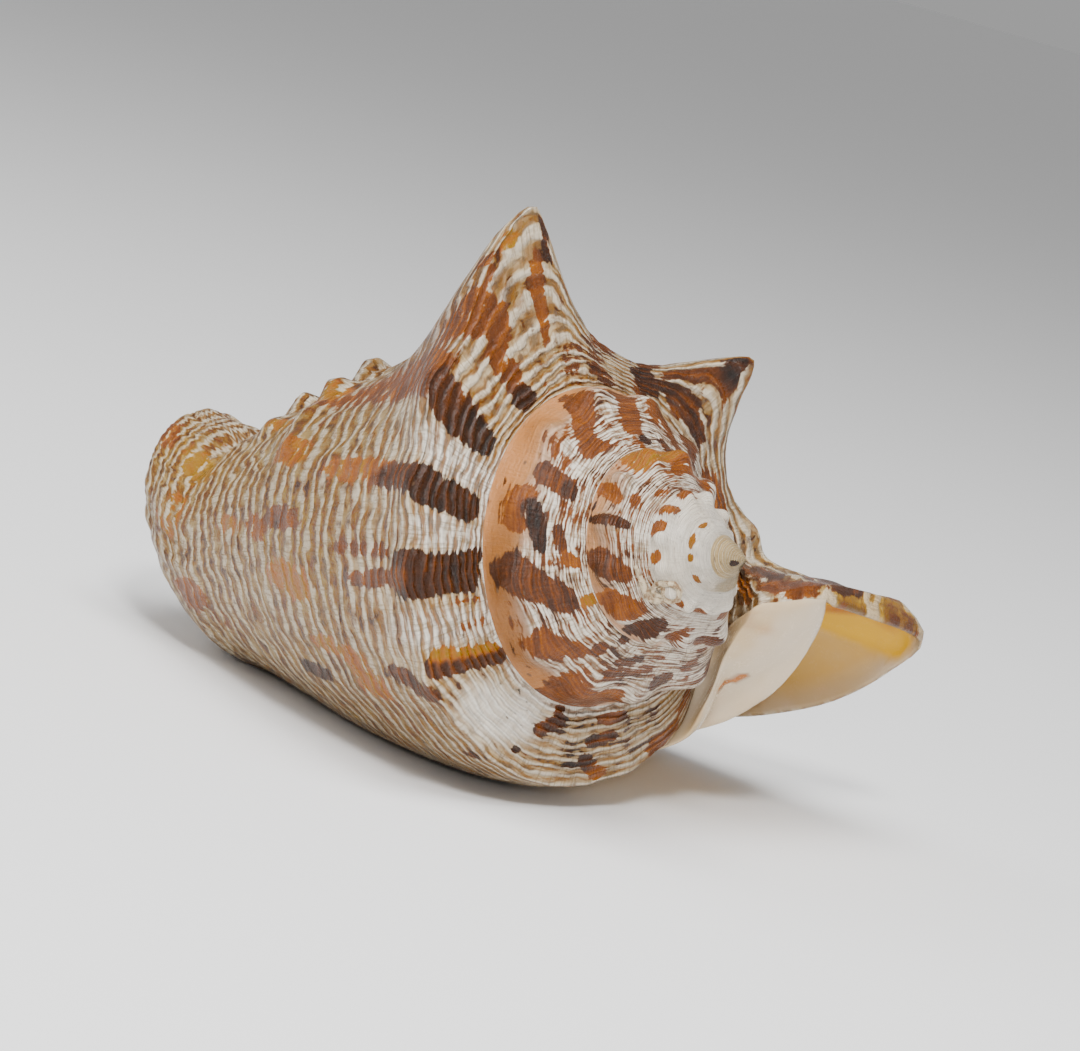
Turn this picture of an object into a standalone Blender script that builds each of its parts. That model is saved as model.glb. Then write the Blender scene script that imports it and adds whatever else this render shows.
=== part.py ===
"""A hawk wing conch shell in one solid: knobbed spiral body, winged lip and open mouth."""
import math

import bmesh
import bpy
import numpy as np

# Driving dimensions, metres and degrees.
LENGTH = 0.090
TURNS = 6
GROWTH = 1.65
COLUMNS = 48
MOUTH_DEPTH = 130.0
MOUTH_RINGS = 11
RING_POWER = 1.25
LIP_THICKNESS = 0.024
WALL_THICKNESS = 0.034
WALL_TURN = 30.0
COLUMN_TURN = 45.0
SHUT_TURN = 25.0
SHUT = 0.6
REST_ROLL = 5.7
REST_PITCH = -15.3
REST_YAW = 0.0
FLAT_DEPTH = 0.00055

# All the forms below are in shell lengths. "along" runs from the tip of the spire to the front end, "out"
# away from the axis. An angle counts from the lip, a whole turn is 360, and older shell is negative.
LIP_BETA = 117.0
SPIRE_SLOPE = 1.27
EARLY_SHOULDER = 0.66
EARLY_RISE = 0.010
EARLY_SWELL = 0.016
FIRST_RAMP = 0.8
LATE_RAMP = 1.3
BODY_OUT = 0.283
SEAM_SCALE = 0.196
SEAM_ANGLE = 205.0

# The seam of the last whorl: angle, along, out.
SEAM = (
    (-360, 0.2006, 0.158), (-297, 0.238, 0.184), (-205, 0.250, 0.197), (-117, 0.262, 0.212),
    (-60, 0.266, 0.220), (0, 0.265, 0.226),
)
# The shoulder of the last whorl: angle, along, out.
SHOULDER = (
    (-360, 0.236, 0.214), (-340, 0.240, 0.246), (-320, 0.247, 0.272), (-290, 0.262, 0.286),
    (-250, 0.275, 0.287), (-205, 0.285, 0.280), (-150, 0.288, 0.268), (-100, 0.287, 0.256),
    (-60, 0.283, 0.258), (0, 0.280, 0.270),
)
# The body below the shoulder: along, out.
BODY = (
    (0.240, 0.280), (0.300, 0.285), (0.335, 0.284), (0.400, 0.275), (0.480, 0.259), (0.570, 0.238),
    (0.670, 0.206), (0.770, 0.174), (0.860, 0.150), (0.925, 0.128), (0.970, 0.082), (0.990, 0.0),
)
# How the middle of the whorls leaves the straight axis: along, towards the back.
BEND = (
    (0.0, 0.0), (0.25, -0.008), (0.45, -0.011), (0.62, -0.009), (0.75, -0.012), (0.86, -0.012),
    (0.935, 0.034), (0.99, 0.092),
)
# Places across the whorl, from seam 0 over the shoulder 5 and the next seam 6 to the front end 16.
SHOULDER_ROW = 5.0
SEAM_ROW = 6.0
MARGIN_ROW = 4.0
END_ROW = 16.0
ROWS_EARLY = (0.28, 0.31, 0.335, 0.365, 0.41, 0.47, 0.54, 0.63, 0.73, 0.83, 0.92, 0.99)
ROWS_LATE = (0.28, 0.33, 0.40, 0.48, 0.56, 0.64, 0.71, 0.78, 0.84, 0.90, 0.945, 0.99)
# Edge of the outer lip: place, along, towards the wing, towards the back.
LIP = (
    (0, 0.265, 0.203, -0.095), (1, 0.218, 0.212, -0.110), (2, 0.135, 0.143, -0.078),
    (3, 0.098, 0.140, -0.066), (4, 0.085, 0.257, -0.068), (4.5, 0.088, 0.354, -0.093),
    (5, 0.105, 0.484, -0.135), (5.5, 0.160, 0.487, -0.178), (6, 0.220, 0.476, -0.212),
    (7, 0.340, 0.455, -0.243), (8, 0.450, 0.439, -0.250), (9, 0.560, 0.410, -0.250),
    (10, 0.660, 0.360, -0.245), (11, 0.760, 0.300, -0.230), (12, 0.810, 0.240, -0.200),
    (13, 0.865, 0.170, -0.130), (14, 0.905, 0.125, -0.095), (15, 0.945, 0.070, -0.010),
    (16, 0.990, 0.000, 0.092),
)
# Inner edge of the mouth below the end of the rear channel, in the same way.
INNER = (
    (11, 0.170, 0.275, -0.165), (12, 0.300, 0.232, -0.198), (13, 0.460, 0.160, -0.190),
    (14, 0.650, 0.105, -0.155), (15, 0.860, 0.040, -0.090), (16, 0.990, 0.000, 0.092),
)
# The column that the mouth turns around: along, out.
COLUMN = (
    (0.20, 0.225), (0.28, 0.205), (0.36, 0.165), (0.46, 0.135), (0.60, 0.105), (0.75, 0.078), (0.88, 0.045),
    (0.99, 0.0),
)
# The outer wing keeps this far out over the spire: along, out.
SPIRE_CLEAR = ((0.05, 0.066), (0.10, 0.111), (0.15, 0.155), (0.20, 0.200), (0.235, 0.224), (0.27, 0.225))
# The spire swells where the lip's rear end grows over it: along, out.
SWELL = (
    (0.02, 0.0), (0.05, 0.012), (0.08, 0.024), (0.127, 0.038), (0.174, 0.042), (0.224, 0.026), (0.27, 0.0),
)
SWELL_ANGLE = 140.0
SWELL_WIDTH = 24.0
LIP_FLARE = 64.0
FLARE_POWER = 3.2
WING_DROP = 4.0
WING_ROW = 4.9
WING_SPREAD = 1.0
WING_FLARE = 2.5
FOLD = 60.0
FLAP_GAP = 0.012
FLAP_RISE = 0.014
FLAP_END = (9.6, 11.0)

# Shoulder knobs: angle from the back seen from the tip, height, half width before and after, sharpness
# before and after, reach up, reach down, lean to the tip.
KNOBS = (
    (-118, 0.012, 8, 8, 1.8, 1.8, 1.6, 0.030, 0.0), (-92, 0.016, 8, 8, 1.8, 1.8, 1.6, 0.030, 0.0),
    (-70, 0.024, 9, 9, 1.8, 1.8, 1.8, 0.040, 0.0), (-48, 0.040, 10, 10, 1.8, 1.8, 2.0, 0.055, 0.0),
    (-11, 0.182, 23, 9.5, 1.6, 1.05, 1.75, 0.115, 0.12),
    (52, 0.132, 12, 12.5, 1.25, 1.25, 1.8, 0.060, 0.30), (84, 0.056, 12, 11, 1.5, 1.5, 1.9, 0.050, 0.10),
)
KNOB_BLEND = 3.0
# Small knobs of the two lower rows: angle, along, height, half width.
NODULES = (
    (-52, 0.61, 0.015, 6), (-38, 0.62, 0.018, 6), (-22, 0.62, 0.028, 6.5), (-4, 0.62, 0.032, 6.5),
    (14, 0.62, 0.026, 6), (32, 0.61, 0.018, 6), (-30, 0.725, 0.014, 7), (-10, 0.73, 0.026, 7),
    (12, 0.73, 0.022, 7), (34, 0.72, 0.012, 7), (-15, 0.855, -0.020, 38),
)
NODULE_LENGTH = 0.022
NODES_A_TURN = 12
NODE_HEIGHT = 0.022
NODE_ROW = 4.8
NODE_SPREAD = 1.1

SPIRE_PLACES = (0, 0.7, 1.4, 2.2, 3.1, 4, 4.6, 5, 5.5, 6)
BODY_PLACES = (6.7, 7.4, 8.2, 9.1, 10, 10.6, 11.2, 11.8, 12.4, 13, 13.5, 14, 14.5, 15, 15.4, 15.75, 16)


def eased(x, low, high):
    """0 below low, 1 above high, and smooth between."""
    f = np.clip((x - low) / (high - low), 0.0, 1.0)
    return f * f * (3 - 2 * f)


def curve(x, keys, values):
    """A smooth curve through a few points."""
    keys = np.asarray(keys, float)
    values = np.asarray(values, float)
    x = np.clip(x, keys[0], keys[-1])
    step = np.diff(keys)
    slope = np.diff(values) / step
    tangent = np.empty_like(values)
    tangent[1:-1] = (slope[:-1] * step[1:] + slope[1:] * step[:-1]) / (step[1:] + step[:-1])
    tangent[0] = slope[0]
    tangent[-1] = slope[-1]
    i = np.clip(np.searchsorted(keys, x, side="right") - 1, 0, len(keys) - 2)
    h = step[i]
    f = (x - keys[i]) / h
    return (
        values[i] * (1 + 2 * f) * (1 - f) ** 2
        + values[i + 1] * f * f * (3 - 2 * f)
        + h * tangent[i] * f * (1 - f) ** 2
        - h * tangent[i + 1] * f * f * (1 - f)
    )


def through(x, points, column):
    """The given column of a list of points, as a smooth curve over its first column."""
    return curve(x, [p[0] for p in points], [p[column] for p in points])


def seam(t):
    """Along and out of the upper seam at an angle."""
    out = SEAM_SCALE * GROWTH ** ((t + SEAM_ANGLE) / 360)
    out = np.where(t < 360.0 - 360.0 * TURNS, 0.0, out)
    late = t > -360
    return np.where(late, through(t, SEAM, 1), SPIRE_SLOPE * out), np.where(late, through(t, SEAM, 2), out)


def shoulder(t):
    """Along and out of the shoulder at an angle."""
    a0, r0 = seam(t)
    a1, r1 = seam(np.minimum(t + 360, 0))
    size = GROWTH ** ((t + SEAM_ANGLE) / 360) * eased(t, -360 * TURNS, 360 - 360 * TURNS)
    early_a = a0 + EARLY_SHOULDER * (a1 - a0) - EARLY_RISE * size
    early_r = r0 + EARLY_SHOULDER * (r1 - r0) + EARLY_SWELL * size
    k = eased(t, -400, -345)
    along = early_a + k * (through(t, SHOULDER, 1) - early_a)
    out = early_r + k * (through(t, SHOULDER, 2) - early_r)
    return along, out


def plain(t, v):
    """Along and out of the whorl without its lip and knobs, at an angle and a place across."""
    a0, r0 = seam(t)
    a1, r1 = seam(np.minimum(t + 360, 0))
    a5, r5 = shoulder(t)
    f = np.clip(v / SHOULDER_ROW, 0, 1)
    hollow = FIRST_RAMP + (LATE_RAMP - FIRST_RAMP) * eased(t, -360 * TURNS, 360 - 360 * TURNS)
    ramp_a = a0 + (a5 - a0) * f ** hollow
    ramp_r = r0 + (r5 - r0) * (0.9 * f + 0.1 * f * f)
    g = np.clip(v - SHOULDER_ROW, 0, 1)
    places = range(5, 17)
    k = eased(t, -360, -150)
    row = curve(v, places, ROWS_EARLY) * (1 - k) + curve(v, places, ROWS_LATE) * k
    row = a5 + (row - ROWS_EARLY[0]) * (ROWS_EARLY[-1] - a5) / (ROWS_EARLY[-1] - ROWS_EARLY[0])
    fade = 1 - 0.5 * eased(row, 0.35, 0.95)
    body = through(row, BODY, 1) * (1 + (r5 / BODY_OUT - 1) * fade)
    spire = (t <= -360) & (v <= SEAM_ROW)
    a = np.where(v <= SHOULDER_ROW, ramp_a, np.where(spire, a5 + (a1 - a5) * g, row))
    r = np.where(v <= SHOULDER_ROW, ramp_r, np.where(spire, r5 + (r1 - r5) * g, body))
    return a, r


def rim(rows, shift):
    """A rim outline as places, along, out and angle past the lip's own."""
    v, a, w, d = np.array(rows, float).T
    d = d - through(a, BEND, 1)
    turned = np.degrees(np.arctan2(w, d)) - LIP_BETA
    turned[-1] = turned[-2]
    return v + shift, a, np.hypot(w, d), turned


LIP_RIM = rim(LIP, 0.0)
FLAP = [row for row in LIP if row[0] <= MARGIN_ROW]
INNER_RIM = rim([(v + SEAM_ROW, a, w, d) for v, a, w, d in FLAP] + list(INNER), 0.0)


def placed(a, r, beta):
    """Points from along, out and the angle from the back."""
    beta = np.radians(beta)
    return np.stack([-a, r * np.sin(beta), r * np.cos(beta) + through(a, BEND, 1)], -1)


def smooth_shell(t, v):
    """Points of the shell without its knobs."""
    t, v = np.broadcast_arrays(np.asarray(t, float), np.asarray(v, float))
    a, r = plain(t, v)
    rows, rim_a, rim_r, rim_b = LIP_RIM
    f = eased(t, -LIP_FLARE, 0)
    base_a, base_r = plain(np.zeros_like(t), v)
    wing = np.exp(-((v - WING_ROW) / WING_SPREAD) ** 2)
    a = a + f ** (FLARE_POWER + WING_FLARE * wing) * (curve(v, rows, rim_a) - base_a)
    r = r + f ** FLARE_POWER * (curve(v, rows, rim_r) - base_r)
    turn = f ** 4 * curve(v, rows, rim_b) + WING_DROP * 4 * f * (1 - f) * np.exp(-((v - 4.5) / 2.5) ** 2)
    clear = through(a, SPIRE_CLEAR, 1) + 0.9 * swell(a, LIP_BETA + t) + 0.012 * v * f
    clear = clear * eased(v, 0, 0.7) * (1 - eased(v, 3.1, 4.6))
    r = r + eased(f, 0, 0.2) * np.maximum(clear - r, 0)
    rows, rim_a, rim_r, rim_b = INNER_RIM
    low = np.maximum(v, SEAM_ROW)
    base_a, base_r = plain(np.full_like(t, -359.999), low)
    f = (1 - eased(t, -360, -360 + FOLD)) * (t > -360.001) * np.clip(v - SHOULDER_ROW, 0, 1)
    a = a + f * (curve(low, rows, rim_a) - base_a)
    r = r + f * (curve(low, rows, rim_r) - base_r)
    grown = 1 + (shoulder(t)[1] / SHOULDER[0][2] - 1) * eased(a, 0.12, 0.24)
    clear = through(a, SPIRE_CLEAR, 1) * grown
    clear = np.maximum(clear + FLAP_RISE * (low - SEAM_ROW) * f, clear - FLAP_GAP + swell(a, LIP_BETA + t))
    clear = clear * eased(low, SEAM_ROW, SEAM_ROW + 0.7) * (1 - eased(low, *FLAP_END))
    r = r + eased(f, 0, 0.3) * (v > SEAM_ROW) * np.maximum(clear - r, 0)
    turn = turn + f * curve(low, rows, rim_b)
    beta = LIP_BETA + t + turn
    low_part = eased(t, -380, -360) * eased(v, SHOULDER_ROW, SEAM_ROW)
    flap_part = eased(t, -90, -40) * eased(v, 0, 0.5)
    r = r + swell(a, beta) * (1 - low_part) * (1 - flap_part)
    return placed(a, r, beta)


def swell(a, beta):
    """How far the spire swells at a place along and an angle."""
    off = (beta - SWELL_ANGLE + 180.0) % 360.0 - 180.0
    return through(a, SWELL, 1) * np.exp(-(off / SWELL_WIDTH) ** 2)


def outward(t, v):
    """Unit normals of the shell without its knobs."""
    step_t, step_v = 0.5, 0.02
    t0, t1 = np.clip(t - step_t, -1e4, 0), np.clip(t + step_t, -1e4, 0)
    v0, v1 = np.clip(v - step_v, 0, END_ROW), np.clip(v + step_v, 0, END_ROW)
    n = np.cross(smooth_shell(t1, v) - smooth_shell(t0, v), smooth_shell(t, v1) - smooth_shell(t, v0))
    return n / np.maximum(np.linalg.norm(n, axis=-1, keepdims=True), 1e-12)


def peak(x, sharp):
    """A bump with hollow flanks, round at its very top."""
    return np.exp(0.02 ** (sharp / 2) - (x * x + 0.02) ** (sharp / 2))


def lifted(t, v, points):
    """The same points with the knobs, the small knobs and the nodes of the spire raised."""
    a, _ = plain(t, v)
    along5, _ = shoulder(t)
    beta = LIP_BETA + t
    out = np.zeros_like(a)
    lean = np.zeros_like(a)
    last = (t > -352) * eased(v, 0, 1.6)
    for angle, height, before, after, sharp_before, sharp_after, up, down, leaning in KNOBS:
        across = np.where(v < SHOULDER_ROW, (SHOULDER_ROW - v) / up, np.maximum(a - along5, 0) / down)
        half = np.where(beta < angle, before, after)
        side = 0.5 + 0.5 * np.tanh((beta - angle) / KNOB_BLEND)
        sharp = sharp_before + (sharp_after - sharp_before) * side
        bump = last * peak(np.hypot((beta - angle) / half, across), sharp)
        out = out + height * bump
        lean = lean + leaning * height * bump * bump
    for angle, along, height, half in NODULES:
        bump = np.exp(-((beta - angle) / half) ** 2 - ((a - along) / NODULE_LENGTH) ** 2)
        out = out + height * bump * last * (v > SEAM_ROW)
    size = GROWTH ** ((t + SEAM_ANGLE) / 360)
    wave = (0.5 + 0.5 * np.cos(np.radians(t * NODES_A_TURN + 40))) ** 1.5
    first = -360 * TURNS
    early = eased(t, first + 90, first + 540) * (1 - eased(t, -415, -385))
    early = early * eased(v, 0, 1.5) * (1 - eased(v, 5.2, 6.0))
    out = out + NODE_HEIGHT * size * wave * early * np.exp(-((v - NODE_ROW) / NODE_SPREAD) ** 2)
    fade = 1 - eased(t, -6, 0)
    beta = np.radians(beta)
    move = np.stack([lean * fade, out * fade * np.sin(beta), out * fade * np.cos(beta)], -1)
    return points + move


def mouth_walls(depth, lip_places, inner_places):
    """Points of the outer and the inner wall of the mouth at a depth, from its rear end to its front end."""
    start = MARGIN_ROW + 2.2 * eased(depth, 0, COLUMN_TURN)
    end = END_ROW - 2.8 * (1 - (1 - min(depth / 35, 1)) ** 2)
    v = start + (lip_places - MARGIN_ROW) * (end - start) / (END_ROW - MARGIN_ROW)
    t = np.full_like(v, -depth)
    thick = LIP_THICKNESS + (WALL_THICKNESS - LIP_THICKNESS) * eased(depth, 0, WALL_TURN)
    thick = thick * (1 - 0.8 * eased(v, 13.5, END_ROW))
    wall = smooth_shell(t, v) - thick[:, None] * outward(t, v)
    share = (inner_places - inner_places[0]) / (inner_places[-1] - inner_places[0])
    first, last = -wall[0, 0], -wall[-1, 0]
    column_a = first + (last - first) * share
    column_r = through(column_a, COLUMN, 1) * (1 - 0.12 * depth / MOUTH_DEPTH)
    rows, rim_a, rim_r, rim_b = INNER_RIM
    k = eased(depth, 0, COLUMN_TURN)
    a = curve(inner_places, rows, rim_a) * (1 - k) + column_a * k
    r = curve(inner_places, rows, rim_r) * (1 - k) + column_r * k
    column = placed(a, r, LIP_BETA - depth + curve(inner_places, rows, rim_b) * (1 - k))
    inward = eased(depth, 0, 6)
    tip = wall[0] + (0.04 + 0.11 * eased(depth, 5, 30)) * (column[len(share) // 2] - wall[0]) * (0.01, 1, 1)
    column = column + (inward * (1 - eased(share, 0, 0.3)))[:, None] * (tip - column)
    if depth > 0:
        wall[0] = column[0] = tip
        far = np.hypot(*(wall[-1] - placed(last, 0.0, 0.0))[1:]) - r[-1]
        out = r[-1] + 0.4 * far * eased(depth, 5, 40) + 0.006
        wall[-1] = column[-1] = placed(last, out, LIP_BETA - depth)
    shut = eased(depth, MOUTH_DEPTH - SHUT_TURN, MOUTH_DEPTH) * SHUT
    middle = (wall.mean(axis=0) + column.mean(axis=0)) / 2
    return wall + shut * (middle - wall), column + shut * (middle - column)


def shell_mesh(columns, spire_places, body_places, rings):
    """All points and faces of the shell."""
    spire_places = np.array(spire_places, float)
    body_places = np.array(body_places, float)
    places = np.concatenate([spire_places, body_places])
    count = TURNS * columns
    angles = (np.arange(count + 1) - count) * 360.0 / columns
    seam_i = len(spire_places) - 1
    margin_i = int(np.argmin(np.abs(spire_places - MARGIN_ROW)))
    last_i = len(places) - 1
    points, faces = [], []

    def add(rows):
        first = len(points)
        points.extend(rows)
        return list(range(first, first + len(rows)))

    apex = add([np.zeros(3)])[0]
    front = add([smooth_shell(0.0, END_ROW)])[0]
    grid = []
    for i in range(count + 1):
        whole = i >= count - columns
        v = places if whole else spire_places
        t = np.full_like(v, angles[i])
        grid.append(add(lifted(t, v, smooth_shell(t, v))))
        if i < columns:
            grid[i][0] = apex
        if i >= columns:
            grid[i - columns][seam_i] = grid[i][0]
        if whole:
            grid[i][last_i] = front
    for j in range(margin_i + 1):
        grid[count - columns][seam_i + j] = grid[count][j]
    for i in range(count):
        rows = min(len(grid[i]), len(grid[i + 1])) - 1
        for j in range(rows):
            faces.append((grid[i][j], grid[i][j + 1], grid[i + 1][j + 1], grid[i + 1][j]))
    faces.append([apex] + grid[0][seam_i:0:-1])

    lip_places = places[margin_i:]
    inner_places = places[seam_i + margin_i:]
    lip_edge = grid[count][margin_i:]
    inner_edge = grid[count - columns][seam_i + margin_i:]
    wall, _ = mouth_walls(0.0, lip_places, inner_places)
    ring = [lip_edge[0]] + add(wall[1:-1]) + [lip_edge[-1]]
    for j in range(len(ring) - 1):
        faces.append((lip_edge[j], lip_edge[j + 1], ring[j + 1], ring[j]))
    inner = inner_edge
    for depth in np.array(rings, float):
        wall, column = mouth_walls(depth, lip_places, inner_places)
        next_ring = add(wall)
        next_inner = [next_ring[0]] + add(column[1:-1]) + [next_ring[-1]]
        for j in range(len(ring) - 1):
            faces.append((ring[j], ring[j + 1], next_ring[j + 1], next_ring[j]))
        for j in range(len(inner) - 1):
            faces.append((inner[j], next_inner[j], next_inner[j + 1], inner[j + 1]))
        ring, inner = next_ring, next_inner
    faces.append(ring + inner[-2:0:-1])
    return np.array(points), faces


def cleaned(points, faces):
    """The points that are used, and the faces without repeated corners."""
    kept = []
    for face in faces:
        corners = [k for n, k in enumerate(face) if k != face[n - 1]]
        if len(set(corners)) >= 3:
            kept.append(corners)
    used = sorted({k for face in kept for k in face})
    index = {k: n for n, k in enumerate(used)}
    return points[used], [[index[k] for k in face] for face in kept]


def rest_turn():
    """The turn from the shell's own axes to how it lies, aperture down."""
    x, y, z = (math.radians(angle) for angle in (REST_ROLL, REST_PITCH, REST_YAW))
    about_x = np.array([(1, 0, 0), (0, math.cos(x), -math.sin(x)), (0, math.sin(x), math.cos(x))])
    about_y = np.array([(math.cos(y), 0, math.sin(y)), (0, 1, 0), (-math.sin(y), 0, math.cos(y))])
    about_z = np.array([(math.cos(z), -math.sin(z), 0), (math.sin(z), math.cos(z), 0), (0, 0, 1)])
    return about_z @ about_y @ about_x


def laid(points):
    """The points in metres, lying on z = 0, box centred over the origin, lowest spots worn flat."""
    scale = LENGTH / np.ptp(points[:, 0])
    points = points @ rest_turn().T * scale
    low, high = points.min(axis=0), points.max(axis=0)
    points = points - np.array([(low[0] + high[0]) / 2, (low[1] + high[1]) / 2, low[2] + FLAT_DEPTH])
    points[:, 2] = np.maximum(points[:, 2], 0.0)
    return points


def shell_material():
    material = bpy.data.materials.new("shell")
    material.use_nodes = True
    shader = material.node_tree.nodes["Principled BSDF"]
    shader.inputs["Base Color"].default_value = (0.60, 0.40, 0.25, 1.0)
    shader.inputs["Roughness"].default_value = 0.28
    shader.inputs["Metallic"].default_value = 0.0
    return material


def build():
    for old in list(bpy.data.objects):
        bpy.data.objects.remove(old)
    rings = MOUTH_DEPTH * (np.arange(1, MOUTH_RINGS + 1) / MOUTH_RINGS) ** RING_POWER
    points, faces = cleaned(*shell_mesh(COLUMNS, SPIRE_PLACES, BODY_PLACES, rings))
    mesh = bpy.data.meshes.new("shell")
    mesh.from_pydata([tuple(p) for p in laid(points)], [], faces)
    form = bmesh.new()
    form.from_mesh(mesh)
    bmesh.ops.recalc_face_normals(form, faces=form.faces)
    bmesh.ops.triangulate(form, faces=form.faces)
    form.to_mesh(mesh)
    form.free()
    mesh.polygons.foreach_set("use_smooth", [True] * len(mesh.polygons))
    mesh.materials.append(shell_material())
    shell = bpy.data.objects.new("shell", mesh)
    bpy.context.scene.collection.objects.link(shell)


build()
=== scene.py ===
"""The looks of a hawk wing conch shell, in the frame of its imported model."""
import math

import bpy
import numpy as np
from mathutils import Matrix, Vector
from mathutils.bvhtree import BVHTree


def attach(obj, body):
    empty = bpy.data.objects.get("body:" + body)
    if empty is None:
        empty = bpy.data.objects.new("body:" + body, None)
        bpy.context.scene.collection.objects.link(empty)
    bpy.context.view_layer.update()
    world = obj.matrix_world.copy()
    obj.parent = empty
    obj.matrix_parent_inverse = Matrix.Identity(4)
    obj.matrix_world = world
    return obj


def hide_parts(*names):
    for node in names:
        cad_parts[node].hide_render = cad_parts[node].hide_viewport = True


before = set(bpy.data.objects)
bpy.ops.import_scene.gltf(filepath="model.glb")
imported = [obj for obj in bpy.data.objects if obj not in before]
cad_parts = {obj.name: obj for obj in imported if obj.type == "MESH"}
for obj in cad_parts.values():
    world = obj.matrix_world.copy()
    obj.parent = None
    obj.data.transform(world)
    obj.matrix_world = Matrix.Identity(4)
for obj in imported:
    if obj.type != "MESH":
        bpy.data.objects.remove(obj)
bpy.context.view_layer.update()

# Driving dimensions, metres and degrees.
LENGTH = 0.09
TURNS = 6
GROWTH = 1.65
COLUMNS = 48
MOUTH_DEPTH = 130.0
RING_POWER = 1.25
LIP_THICKNESS = 0.024
WALL_THICKNESS = 0.034
WALL_TURN = 30.0
COLUMN_TURN = 45.0
SHUT_TURN = 25.0
SHUT = 0.6
REST_ROLL = 5.7
REST_PITCH = -15.3
FLAT_DEPTH = 0.00055

# All the forms below are in shell lengths. "along" runs from the tip of the spire to the front end, "out"
# away from the axis. An angle counts from the lip, a whole turn is 360, and older shell is negative.
LIP_BETA = 117.0
SPIRE_SLOPE = 1.27
EARLY_SHOULDER = 0.66
EARLY_RISE = 0.01
EARLY_SWELL = 0.016
FIRST_RAMP = 0.8
LATE_RAMP = 1.3
BODY_OUT = 0.283
SEAM_SCALE = 0.196
SEAM_ANGLE = 205.0

# The seam of the last whorl: angle, along, out.
SEAM = (
    (-360, 0.2006, 0.158), (-297, 0.238, 0.184), (-205, 0.25, 0.197), (-117, 0.262, 0.212),
    (-60, 0.266, 0.22), (0, 0.265, 0.226),
)
# The shoulder of the last whorl: angle, along, out.
SHOULDER = (
    (-360, 0.236, 0.214), (-340, 0.24, 0.246), (-320, 0.247, 0.272), (-290, 0.262, 0.286),
    (-250, 0.275, 0.287), (-205, 0.285, 0.28), (-150, 0.288, 0.268), (-100, 0.287, 0.256),
    (-60, 0.283, 0.258), (0, 0.28, 0.27),
)
# The body below the shoulder: along, out.
BODY = (
    (0.24, 0.28), (0.3, 0.285), (0.335, 0.284), (0.4, 0.275), (0.48, 0.259), (0.57, 0.238),
    (0.67, 0.206), (0.77, 0.174), (0.86, 0.15), (0.925, 0.128), (0.97, 0.082), (0.99, 0.0),
)
# How the middle of the whorls leaves the straight axis: along, towards the back.
BEND = (
    (0.0, 0.0), (0.25, -0.008), (0.45, -0.011), (0.62, -0.009), (0.75, -0.012), (0.86, -0.012),
    (0.935, 0.034), (0.99, 0.092),
)
# Places across the whorl, from seam 0 over the shoulder 5 and the next seam 6 to the front end 16.
SHOULDER_ROW = 5.0
SEAM_ROW = 6.0
MARGIN_ROW = 4.0
END_ROW = 16.0
ROWS_EARLY = (0.28, 0.31, 0.335, 0.365, 0.41, 0.47, 0.54, 0.63, 0.73, 0.83, 0.92, 0.99)
ROWS_LATE = (0.28, 0.33, 0.4, 0.48, 0.56, 0.64, 0.71, 0.78, 0.84, 0.9, 0.945, 0.99)
# Edge of the outer lip: place, along, towards the wing, towards the back.
LIP = (
    (0, 0.265, 0.203, -0.095), (1, 0.218, 0.212, -0.11), (2, 0.135, 0.143, -0.078),
    (3, 0.098, 0.14, -0.066), (4, 0.085, 0.257, -0.068), (4.5, 0.088, 0.354, -0.093),
    (5, 0.105, 0.484, -0.135), (5.5, 0.16, 0.487, -0.178), (6, 0.22, 0.476, -0.212),
    (7, 0.34, 0.455, -0.243), (8, 0.45, 0.439, -0.25), (9, 0.56, 0.41, -0.25),
    (10, 0.66, 0.36, -0.245), (11, 0.76, 0.3, -0.23), (12, 0.81, 0.24, -0.2),
    (13, 0.865, 0.17, -0.13), (14, 0.905, 0.125, -0.095), (15, 0.945, 0.07, -0.01),
    (16, 0.99, 0.000, 0.092),
)
# Inner edge of the mouth below the end of the rear channel, in the same way.
INNER = (
    (11, 0.17, 0.275, -0.165), (12, 0.3, 0.232, -0.198), (13, 0.46, 0.16, -0.19),
    (14, 0.65, 0.105, -0.155), (15, 0.86, 0.04, -0.09), (16, 0.99, 0.000, 0.092),
)
# The column that the mouth turns around: along, out.
COLUMN = (
    (0.2, 0.225), (0.28, 0.205), (0.36, 0.165), (0.46, 0.135), (0.6, 0.105), (0.75, 0.078), (0.88, 0.045),
    (0.99, 0.0),
)
# The outer wing keeps this far out over the spire: along, out.
SPIRE_CLEAR = ((0.05, 0.066), (0.1, 0.111), (0.15, 0.155), (0.2, 0.2), (0.235, 0.224), (0.27, 0.225))
# The spire swells where the lip's rear end grows over it: along, out.
SWELL = (
    (0.02, 0.0), (0.05, 0.012), (0.08, 0.024), (0.127, 0.038), (0.174, 0.042), (0.224, 0.026), (0.27, 0.0),
)
SWELL_ANGLE = 140.0
SWELL_WIDTH = 24.0
LIP_FLARE = 64.0
FLARE_POWER = 3.2
WING_DROP = 4.0
WING_ROW = 4.9
WING_SPREAD = 1.0
WING_FLARE = 2.5
FOLD = 60.0
FLAP_GAP = 0.012
FLAP_RISE = 0.014
FLAP_END = (9.6, 11.0)

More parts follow.
